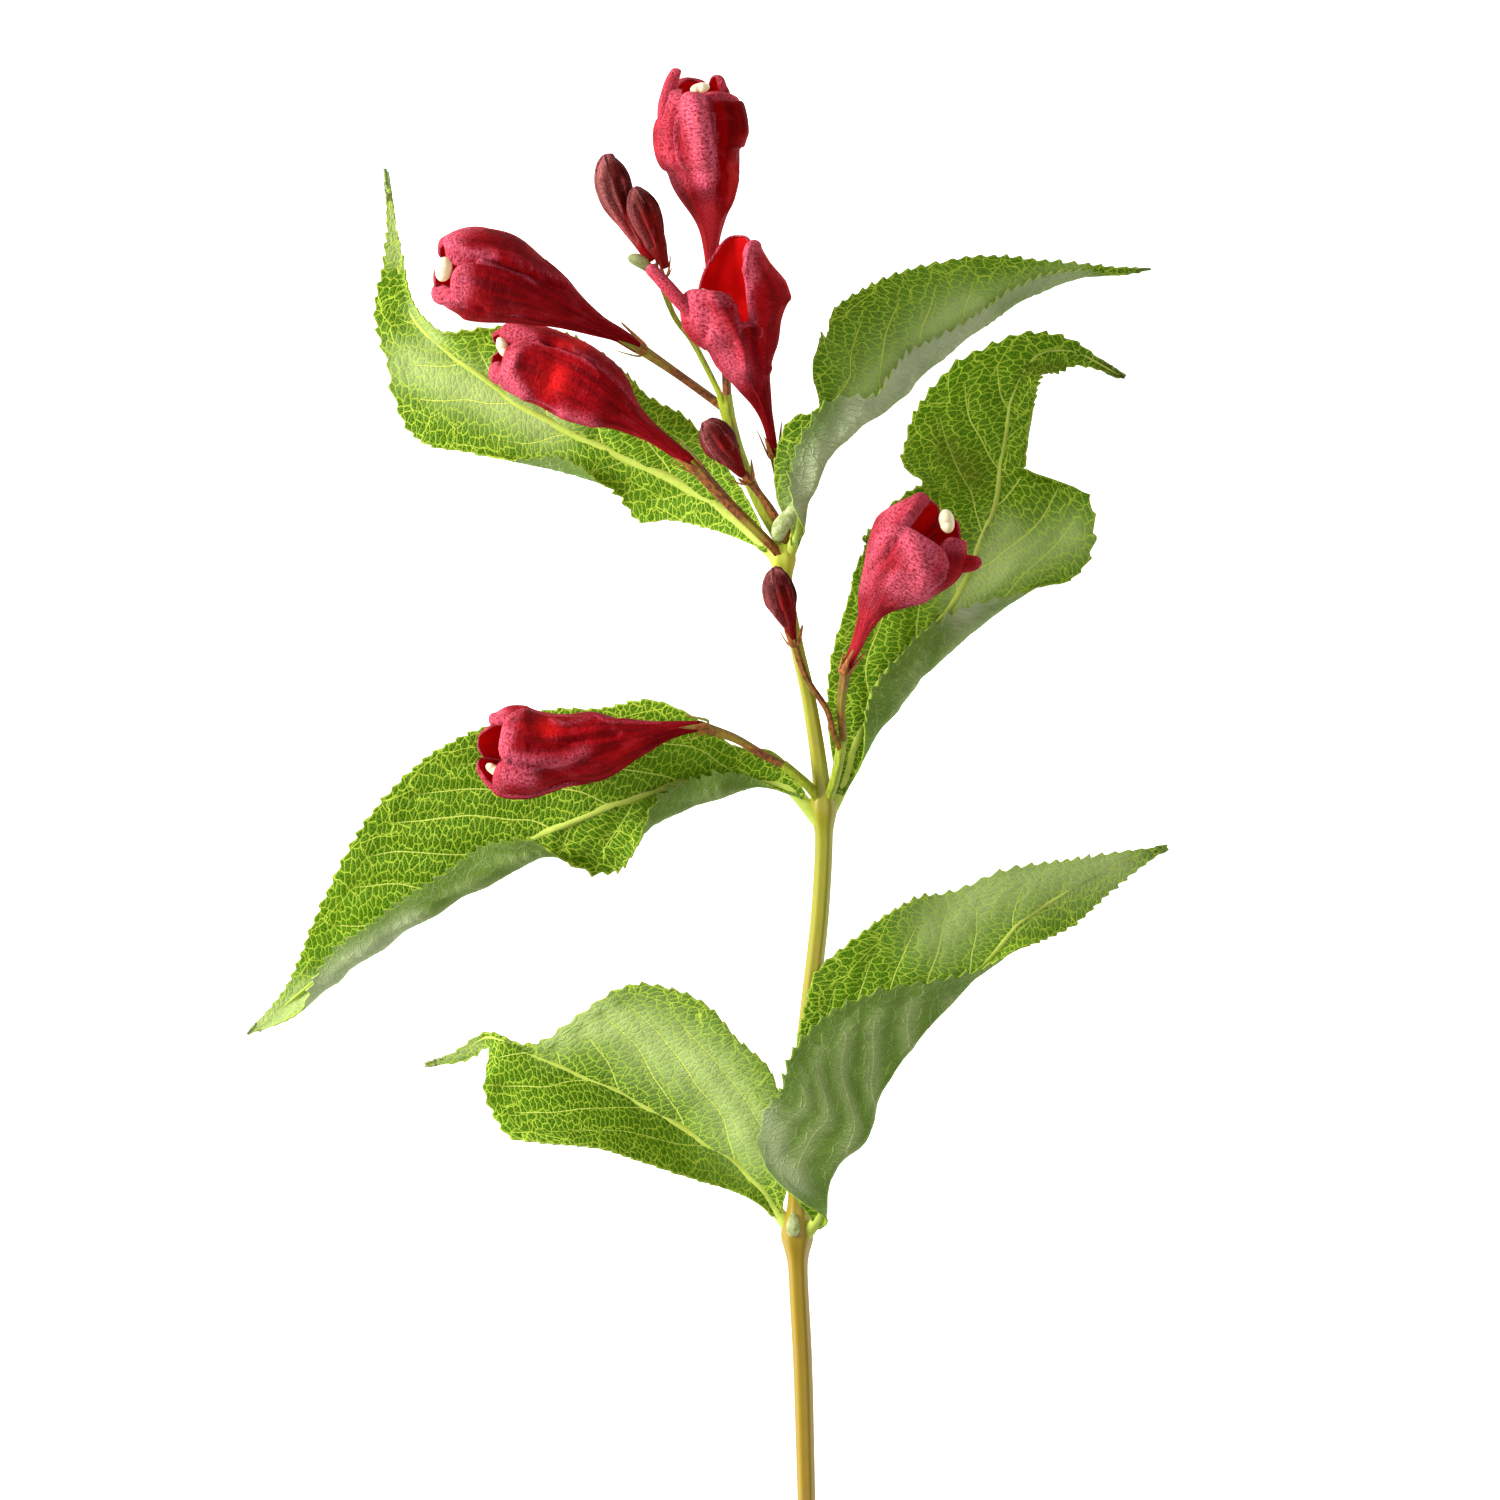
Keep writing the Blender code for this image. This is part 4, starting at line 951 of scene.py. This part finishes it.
def loose_lobe(name, node, rows, curl, facing, seed, wall=PETAL_WALL,
               finishes=(petal_outer, petal_inner), nap_and_highlight=0.6):
    """A lobe that has come away from the mouth, curled along rows (x, y, z, half width).

    curl is the angle that its breadth is bent round, and facing the side it opens to.
    """
    line, length = along(rows, 48)
    forward, side, up = frames(line[:, :3])
    turn = math.radians(facing)
    open_way = math.cos(turn) * side + math.sin(turn) * up
    across = np.cross(forward, open_way)
    w = np.linspace(-1, 1, 31)[None, :]
    bent = np.radians(curl) / 2
    t = np.linspace(0, 1, len(line))[:, None]
    width = line[:, 3][:, None]
    # It narrows over its last fifth, to a blunt tip.
    half = width * np.sqrt(np.maximum(1 - np.maximum(t - 0.8, 0) ** 2 / 0.0421, 0.0))
    radius = width / bent + 0.06 * hills(t * length, w * 2, seed)
    angle = w * bent * half / width
    spot = (line[:, None, :3] + (radius * np.sin(angle))[..., None] * across[:, None]
            + (radius * (0.5 - np.cos(angle)))[..., None] * open_way[:, None])
    run = np.broadcast_to(t * length / MAP_SPAN, angle.shape)
    petal = np.stack([run, 0.5 + angle * radius / MAP_SPAN], -1)
    edge = np.maximum(np.abs(w) ** 5, t**5)
    rim = np.stack([np.ones_like(edge), edge], -1)
    # The lobe takes one nap cover all over: the pale nap, partly a painted highlight where it is
    # lit.
    made = mesh_object(name, spot, grid_faces(*angle.shape), finishes, {
        "petal": petal, "rim": rim, "tint": np.full((angle.size, 2), (nap_and_highlight, 0.0))})
    add_wall(made, wall)
    belongs(made, node)


bloom("bloom_top", split=0.52, seed=31,
    rows=[(1.1, 72, 21.5, .95), (.75, 76, 21.8, 1.0), (.6, 79.2, 22.2, 1.5), (.5, 81.3, 22.6, 2.3),
        (.3, 83.7, 23, 3.6, 3.3), (-.1, 86.4, 23.6, 4.7, 4.4), (-.4, 88.6, 23.8, 5.1, 4.8),
        (-.8, 90.5, 24, 5.9, 5.2), (-.75, 93, 24.1, 6.35, 5.6), (-.8, 95.2, 24.2, 6.1, 5.6),
        (-1, 97.5, 24.2, 5.1, 5), (-.7, 99.6, 24.3, 4), (-.4, 101.6, 24.3, 2.3, 2.5)],
    lobes=[(-30, 62, .87, -.2, .1, 0, 1.2), (62, 104, .87, .2, .6, 0, .9),
        (104, 180, .885, -.4, .2, 0, 1.0), (180, 250, .97, -.3, .3, 0, .8),
        (250, 330, .94, -.3, .3, 0, .8)],
    marks=[(1.3, 1.5, [(-1.4, 98), (-.5, 92), (.3, 86)]),
        (-.9, .5, [(-4, 99), (-4.1, 95), (-4, 90.5)]),
        (-1.5, .6, [(-1, 99.4), (.9, 96.6), (1.8, 92), (2.1, 87.5), (2, 82.7)]),
        (.5, .9, [(4.6, 97), (5.4, 93)]),
        (.3, .25, [(4.6, 86.5), (3.6, 83), (1.9, 81), (1.6, 78.5)]),
        (-.5, .6, [(4.8, 88.2), (3.4, 88)])],
    nap_and_highlight=[(1.8, 1.7, [(-2.4, 98), (-.6, 92), (.1, 87)]), (.35, 1.4, [(.3, 84), (.6, 76)]),
        # this negative line takes nap away right of the fold, as painted shade
        (-.9, 1.5, [(3.2, 98), (3.4, 92), (3, 86)]),
        (.4, 1.5, [(-5.6, 96), (-5.8, 91), (-3.6, 86)])],
    painted_glow=[(.9, 1.6, [(.6, 74), (.4, 79), (.4, 82)]), (.4, 1.2, [(3.4, 84), (3.8, 88)])])
loose_lobe("bloom_top_finger_lobe", "bloom_top", curl=300, facing=300, seed=41,
    rows=[(-5.5, 95.0, 26.0, 2.7), (-5.2, 97.6, 26.2, 2.7), (-4.6, 99.8, 25.8, 2.4),
        (-3.8, 101.8, 25.2, 1.9)])
bloom("bloom_front", split=0.54, seed=32,
    rows=[(9.4, 48.4, 25.4, .72), (8.9, 51.6, 26.1, .75), (7.9, 55, 27.5, 1.3),
        (6.4, 58.8, 29.3, 2.7, 2.6), (5.6, 61.6, 30.5, 4.3, 3.8), (5.1, 64, 31.5, 5.3, 4.5),
        (3.9, 68.5, 33, 7.7, 5.6), (3.8, 72, 33.6, 7.0, 5), (3.9, 75.5, 34, 4.3, 4),
        (4.1, 79.2, 34, 2.2, 2)],
    lobes=[(-60, 22, .64, -.4, .1, 0, .6), (22, 86, .735, .2, .4, -.2, .9),
        (86, 112, .62, .1, .1, 0, .5), (112, 214, .93, .7, -.3, 0, 1.0),
        (214, 300, .97, -.3, .3, .2, .4)],
    marks=[(1.1, .8, [(1.2, 70), (3.4, 66.8), (5.3, 63.2), (5.7, 60)]),
        (-.9, .9, [(4.2, 68.4), (6.6, 64), (7.2, 61)]),
        (.3, .25, [(9.6, 60.6), (8, 58.6), (7.6, 56)]),
        (-.6, .6, [(-.2, 69.5), (.2, 66.5), (-.2, 64)])],
    nap_and_highlight=[(.9, 2.0, [(-2.5, 69), (0, 66), (2.5, 62), (4.2, 59.4)]),
        (1.2, .8, [(6.2, 78), (5.6, 76), (6.6, 72.5), (4.8, 69.6)])])
loose_lobe("bloom_front_left_lobe", "bloom_front", curl=290, facing=275, seed=42,
    rows=[(-1.2, 66.8, 36.2, 2.6), (-3.4, 69.0, 36.8, 2.6), (-5.6, 71.6, 36.6, 2.5),
        (-7.9, 74.0, 35.6, 2.3)])
bloom("bloom_upper_left", split=0.52, seed=33,
    rows=[(-9.5, 63.1, 26.4, .85), (-12, 64.7, 27.4, 1.05), (-15, 66.0, 28.8, 1.5),
        (-19, 68.1, 30.6, 2.65, 2.6), (-22, 69.7, 32, 4.0, 3.8), (-26, 71.4, 33.3, 5.2, 4.9),
        (-30, 72.7, 34.5, 6.1, 5.5), (-33.2, 73.3, 35.2, 6.0, 5.3), (-36.2, 73.2, 35.8, 4.6, 4.3),
        (-38.7, 73, 36, 2.4)],
    lobes=[(-35, 34, .94, -.3, .2, 0, 1.5), (34, 98, .885, .2, .3, 0, 1.2),
        (98, 172, .895, -.1, .4, 0, 1.2), (172, 250, .91, -.3, .3, 0, .8),
        (250, 325, .94, -.3, .3, 0, .8)],
    marks=[(.5, .8, [(-34.6, 76.4), (-30, 75.5), (-26, 74.6)]),
        (.45, .3, [(-29, 75.6), (-25, 74.3), (-19.5, 72)]),
        (-.9, .5, [(-35.6, 75.2), (-32.8, 74.6), (-29.8, 74.3), (-24.2, 73.3), (-20, 71.6)]),
        (-.5, .4, [(-36.8, 72.7), (-36, 70.6), (-33.6, 69.2), (-30.8, 67.9)]),
        (.35, .3, [(-20.8, 66), (-19.7, 67.1), (-16.9, 67.4), (-14, 66.6)])],
    nap_and_highlight=[(1.6, 1.8, [(-35.4, 73), (-34.6, 71.2)]),
        (1, .7, [(-35.8, 77.4), (-33, 75.7), (-29.5, 75.3)]),
        (1.1, 1.2, [(-38.4, 71.4), (-36.4, 69.8)]), (.5, 1.4, [(-35, 79), (-33, 79.6)]),
        (.5, .25, [(-27, 75), (-19.5, 72.2), (-16, 69.4)])])
fold = [(-18.6, 63), (-15.4, 60.9), (-12.2, 58.1), (-9.6, 55.1)]
bloom("bloom_left", split=0.5, seed=34,
    rows=[(-2, 47, 23.8, .95), (-5.4, 49.6, 23.6, 1.1), (-10, 52.9, 23.4, 1.9),
        (-14, 55.7, 23.2, 4.4, 4.0), (-17, 57.7, 23, 5.3, 4.7), (-21, 59.8, 22.8, 5.3, 4.7),
        (-25, 61.4, 22.6, 5.1, 4.5), (-28.5, 62.2, 22.5, 4.1, 3.8), (-30.8, 61.9, 22.4, 2.5)],
    lobes=[(-30, 42, .94, -.3, .1, 0, 1.6), (42, 118, .88, .4, .4, 0, 1.2),
        (118, 190, .91, -.4, .3, 0, 1.3), (190, 260, .95, -.3, .3, 0, .5),
        (260, 330, .97, -.3, .3, 0, .5)],
    marks=[(-.7, .5, [(-27, 63), (-24.2, 63.6), (-20.8, 63.6)]), (.4, .3, fold),
        (.7, .9, [(-26.4, 62), (-27, 59.6), (-25, 56.6)]),
        (-.5, 1.3, [(-21.5, 58.5), (-20.8, 60.5)]), (.6, .9, [(-19.5, 53.8), (-15.5, 52.6)])],
    nap_and_highlight=[(1, .9, [(-26.8, 65.4), (-24.4, 64.6)]),
        (.9, .7, [(-26.4, 62.6), (-27.3, 60.5), (-26.4, 58), (-25, 56.4)]),
        (1.3, 1.3, [(-30.4, 60.4), (-29, 58.4), (-27, 57)]), (.7, .8, [(-20.5, 54), (-15.5, 52.4)]),
        (.5, .25, fold)],
    painted_glow=[(.75, 2.0, [(-21, 59), (-21.2, 58)]), (.5, 1.0, [(-20, 63.6), (-17, 63.4)])])
bloom("bloom_right", split=0.4, seed=35,
    rows=[(19.6, 18.6, 22.6, .7), (20.9, 21.3, 22.8, .85), (22.4, 25, 23.3, 1.4),
        (23.8, 28, 24.1, 2.9, 2.8), (26.9, 31.7, 25.3, 5.3, 4.7), (29.6, 35.6, 26.6, 6.7, 5.4),
        (31.6, 38.8, 27.6, 5.0, 4.5), (33.4, 41.2, 28, 2.6)],
    lobes=[(-30, 52, .93, -.2, .3, 0, 1.4), (48, 132, .8, .5, .7, .3, 1.3),
        (126, 200, .88, -.3, .2, .1, .6), (200, 265, .95, -.3, .3, 0, .3),
        (265, 330, .95, -.3, .3, 0, .3)],
    marks=[(-.9, .5, [(27.4, 37.6), (25, 33.9), (22.6, 32)]),
        (.7, 1.1, [(29.2, 35.4), (30.4, 31.5), (30, 28.6)]), (-.5, .5, [(26.5, 33), (24.5, 30.5)]),
        (.3, .3, [(27.4, 32), (25.6, 30), (24.6, 28.6)])],
    nap_and_highlight=[(.8, 1.5, [(26, 41), (24.6, 37), (22.8, 33), (22, 30)]),
        (1.3, 2.2, [(29, 36), (29.6, 32), (29.6, 29), (27, 30)]), (.35, 1.5, [(23, 27), (21, 21)])],
    painted_glow=[(.8, 1.3, [(20.6, 20.6), (22.6, 25.4)])])
loose_lobe("bloom_right_low_lobe", "bloom_right", curl=150, facing=265, seed=43, nap_and_highlight=0.05,
    rows=[(31.8, 32.6, 27.6, 1.7), (34.4, 32.9, 27.9, 1.9), (36.6, 33.0, 27.2, 1.7),
        (38.2, 33.2, 26.4, 1.3)])
fold = [(-21.6, 11.2), (-19.4, 10.6), (-15.4, 11.8), (-13.4, 11), (-6.4, 10.9)]
bloom("bloom_middle_left", split=0.52, seed=36,
    rows=[(-.8, 10.4, 21.5, .7), (-5, 9.8, 21.8, 1.3), (-10, 8.6, 22.1, 2.7, 2.6),
        (-15, 7.6, 22.4, 4.7, 4.2), (-20, 7.1, 22.6, 4.8, 4.4), (-25, 6.6, 22.7, 6.1, 5.2),
        (-28.5, 7.2, 22.8, 5.7, 4.8), (-31.6, 7.7, 22.8, 3)],
    lobes=[(5, 72, .87, -.3, 0, 0, 1.3), (72, 150, .88, .4, .5, 0, 1.2),
        (150, 220, .95, -.3, .3, 0, .9), (220, 295, 1.0, -.3, .3, 0, .4),
        (295, 365, .98, -.3, .3, 0, .6)],
    marks=[(.45, .3, fold), (-.7, .45, [(-24.4, 7.25), (-20.6, 7.25), (-18, 8.4), (-12.5, 9.2)]),
        (-.6, .45, [(-27, 5.2), (-20.6, 3.6), (-16.9, 5.6), (-11.9, 7.4)]),
        (-.6, 1.2, [(-22.8, 10), (-21.6, 10.4)]), (.5, .8, [(-23.5, 5.6), (-18.5, 5.8)])],
    nap_and_highlight=[(1, 1.2, [(-31, 11.2), (-29, 12.4)]), (.9, .7, [(-27.6, 9.4), (-28.3, 7), (-26.5, 5.8)]),
        (.6, .9, [(-25.5, 5.8), (-20, 5.2), (-17, 6.6)]), (1, 1.2, [(-27.2, 3.4), (-24.6, 3)]),
        (.5, .25, fold)],
    painted_glow=[(.9, 1.1, [(-22.8, 10.3), (-22, 10)]), (.4, 1.2, [(-10, 8), (-13, 6)])])

# ---------------------------------------------------------------------------
# Inside each mouth a thin style carries a cream stigma with two lobes. It
# stands on the ovary, up through the middle of the corolla.

STYLE_RADIUS = 0.3       # mm

cream_stigma, cream, grain = grained_finish("cream_stigma", 2200.0, 3.0, 0.6)
cream.skin(cream.blend(grain, rgb(254, 248, 220), rgb(240, 222, 172)), 0.5, grain, 0.05,
           through=rgb(250, 236, 180), share=0.2)
crimson_style, crimson = new_finish("crimson_style")
crimson.skin(rgb(206, 20, 24), 0.5, through=rgb(226, 20, 20), share=0.2, Specular_IOR_Level=0.1)


def ball(name, segments, rings, move, finish):
    """A ball of radius 1 whose points go where move(x, y, z) says, in mm of the sprig's frame."""
    shape = bmesh.new()
    bmesh.ops.create_uvsphere(shape, u_segments=segments, v_segments=rings, radius=1.0)
    for vert in shape.verts:
        vert.co = (np.array(move(*vert.co)) - MIDDLE) * MM
    return shaped_object(name, shape, finish)


def stigma(name, line, place, size, turn):
    """The style along a line in a bloom, and the stigma at its end.

    The stigma has its place, its three half sizes and its turn in plan, in degrees.
    """
    c, s = math.cos(math.radians(turn)), math.sin(math.radians(turn))

    def lobed(x, y, z):
        """The knob is pinched in between its two lobes."""
        groove = 1 - 0.2 * math.exp(-((x + 0.15) / 0.2) ** 2) * max(0.0, z + 0.3)
        x, y, z = x * size[0], y * size[1] * groove, z * size[2] * groove
        return place[0] + x * c - y * s, place[1] + x * s + y * c, place[2] + z

    knob = ball("stigma_" + name, 28, 18, lobed, cream_stigma)
    style = stalk("stigma_" + name + "_style", [(*point, STYLE_RADIUS) for point in line],
                  crimson_style, step=0.5, Ribs=4, Rib_depth=0.0)
    belongs(knob, "bloom_" + name)
    belongs(style, "bloom_" + name)


stigma("top", [(1, 75, 21.8), (-.2, 90, 23.8), (-.7, 98.4, 25.4)],
       (-.8, 99.1, 26.2), (1.4, .8, .9), 12)
stigma("front", [(7.9, 55, 27.5), (3.6, 66, 32.6), (.6, 69.6, 35.8)],
       (.2, 70.3, 36.3), (1.0, .4, .4), -30)
stigma("upper_left", [(-12, 65.5, 27.4), (-28, 73, 34), (-35.6, 73.6, 37.4)],
       (-36.2, 73.5, 39.0), (1.75, 1.2, 1.2), 80)
stigma("left", [(-5, 49.3, 23.6), (-20, 59.4, 22.9), (-27.6, 62.8, 24.2)],
       (-28.3, 63.1, 24.8), (1.5, .8, .9), 112)
stigma("right", [(21.5, 23, 23), (29.5, 35, 22.6), (33.3, 38.6, 25.8)],
       (33.5, 38.8, 29.6), (1.7, 1.1, 1.1), 100)
stigma("middle_left", [(-4, 10, 21.8), (-20, 7, 22.6), (-28.8, 4.6, 24.4)],
       (-29.6, 4.3, 24.8), (1.2, .7, .7), -35)

# ---------------------------------------------------------------------------
# The buds: small shut corollas, their five lobes still wrapped round each
# other, with a dark maroon, velvety skin.

bud_skin = petal_finish(
    "maroon_bud_skin", deep=rgb(40, 4, 4), mid=rgb(106, 22, 16), nap_and_highlight=rgb(204, 124, 122),
    painted_glow=rgb(196, 16, 20), rough=0.55, glow=rgb(150, 4, 8), share=0.06, nap_and_highlight_weight=0.75, depth=0.18)
for seed, (name, rows) in enumerate((
    ("bud_tip", [
        (-7.6, 75, 27.4, .7), (-9.2, 77.8, 27.9, 1.0), (-10.9, 80.8, 28.3, 1.5),
        (-12.2, 83.5, 28.6, 2.1), (-13, 86.2, 28.9, 2.3), (-13.5, 88.2, 29, 1.6),
        (-13.7, 89.4, 29, .6)]),
    ("bud_second", [
        (-5.6, 74.2, 28.9, .6), (-6.8, 77, 30.6, 1.35), (-8, 80, 31.6, 1.8),
        (-8.9, 82.4, 32.3, 1.95), (-9.4, 84, 32.6, 1.2), (-9.5, 84.7, 32.6, .5)]),
    ("bud_small", [
        (5.2, 45.3, 25.5, .6), (4.0, 46.9, 26.2, 1.2), (2.6, 48.8, 26.9, 2.05, 2.0),
        (1.5, 50.5, 27.3, 2.15, 2.1), (.7, 51.8, 27.3, 1.6, 1.5), (.3, 52.5, 27.3, .7)]),
    ("bud_stem", [
        (12.2, 22.5, 24.3, .5), (11.6, 24.5, 24.8, 1.0), (10.7, 27, 25.3, 1.9),
        (10.1, 29.6, 25.6, 1.9), (9.9, 31.3, 25.7, 1.2), (9.8, 32, 25.7, .5)]),
)):
    # The nap is thick along the lit side of each bud, a painted highlight, and a painted glow
    # lightens its foot; each bud has three ridges and two furrows.
    lit = [(x - 0.75 * w, y) for x, y, _, w, *_ in rows[1:]]
    reds = 0.9 if name == "bud_tip" else 0.4
    wrapped = [(72 * k + 17 * seed, 72 * k + 72 + 17 * seed, 1.0, -.3, .35, 0, .5)
               for k in range(5)]
    seams = [[(x + a * w, y) for x, y, _, w, *_ in rows[1:-2]] for a in (-.75, .05, .7, -.38, .4)]
    marks = [(.35, .35, ridge) for ridge in seams[:3]] + [(-.4, .3, furrow) for furrow in seams[3:]]
    bloom(name, rows, wrapped, split=0.4, seed=50 + seed,
          finishes=(bud_skin, bud_skin), pleat=0.1, wrinkle=0.2, roll=0.2, wall=0.2, lap=16,
          marks=marks, nap_and_highlight=[(reds, 0.8, lit)],
          painted_glow=[(reds, 1.8, [rows[0][:2], rows[2][:2]])])

# ---------------------------------------------------------------------------
# Small green parts: the bract under the two end buds, the curled ear at the
# foot of the upper right leaf, and the resting bud in the lower joint.

pale_green, pale, grain = grained_finish("pale_green_skin", 1400.0, 4.0, 0.7)
pale.skin(pale.blend(pale.ease(grain, 0.3, 0.7), rgb(222, 224, 172), rgb(146, 166, 84)),
          0.6, grain, 0.16, through=rgb(200, 214, 120), share=0.3, Specular_IOR_Level=0.3)

loose_lobe("bract_skin", "bud_branch", curl=110, facing=300, seed=44, wall=0.22,
    finishes=(pale_green, pale_green),
    rows=[(-7.4, 73.4, 27.4, .5), (-8.4, 74.4, 28.2, 1.1), (-9.8, 75.2, 28.6, 1.2),
        (-10.8, 75.3, 28.5, .8)])
loose_lobe("leaf_upper_right_ear", "leaf_upper_right", curl=170, facing=262, seed=45, wall=0.28,
    finishes=(pale_green, pale_green),
    rows=[(15.4, 46.2, 29.4, .5), (13.6, 42.6, 28.4, 1.0), (11.9, 39.9, 27.4, 1.4),
        (10.6, 38.2, 26.8, 1.8), (9.9, 36.2, 26.2, 1.5)])


def resting_shape(x, y, z):
    """An egg that narrows towards its tip, where it rests in the joint."""
    narrow = 1 - 0.35 * y
    return 12.2 + x * 0.9 * narrow, -59.6 + y * 1.7, 11.3 + z * 0.7 * narrow


belongs(ball("resting_bud", 24, 16, resting_shape, pale_green), "stem")

# ---------------------------------------------------------------------------
# The table that the sprig lies on, soft light from all around with the key on
# the left, and a camera that looks straight down.

table_mesh = bpy.data.meshes.new("table")
table_mesh.from_pydata([(-2, -2, 0), (2, -2, 0), (2, 2, 0), (-2, 2, 0)], [], [(0, 1, 2, 3)])
table = placed("table", table_mesh)
table_white, white = new_finish("table_white")
white.skin(rgb(235, 235, 235), 0.9, Emission_Color=(1.0, 1.0, 1.0), Emission_Strength=1.1)
table_mesh.materials.append(table_white)

sky = bpy.data.worlds.new("studio")
sky.use_nodes = True
dome = sky.node_tree.nodes["Background"].inputs
dome["Color"].default_value = (1.0, 1.0, 1.0, 1.0)
dome["Strength"].default_value = 0.2
bpy.context.scene.world = sky

LIT_SPOT = np.array([0.006, 0.007, 0.015])   # m, what both lights point at
for name, spot, wide, watts in (
    ("key", (-0.75, 0.2, 0.34), 0.3, 13.0),
    ("fill", (0.2, -0.1, 1.2), 0.8, 6.0),
):
    lamp = bpy.data.lights.new(name, "AREA")
    lamp.size, lamp.energy = wide, watts
    light = placed(name, lamp)
    light.location = spot
    x, y, z = LIT_SPOT - spot
    light.rotation_euler = (math.atan2(math.hypot(x, y), -z), 0.0, math.atan2(y, x) - math.pi / 2)

lens = bpy.data.cameras.new("overhead")
lens.sensor_width, lens.lens = 36.0, 340.3   # mm
lens.clip_end = 10.0
camera = placed("overhead", lens)
camera.location = (0.00602, 0.00715, 2.0)
bpy.context.scene.camera = camera
bpy.context.scene.view_settings.view_transform = "Standard"
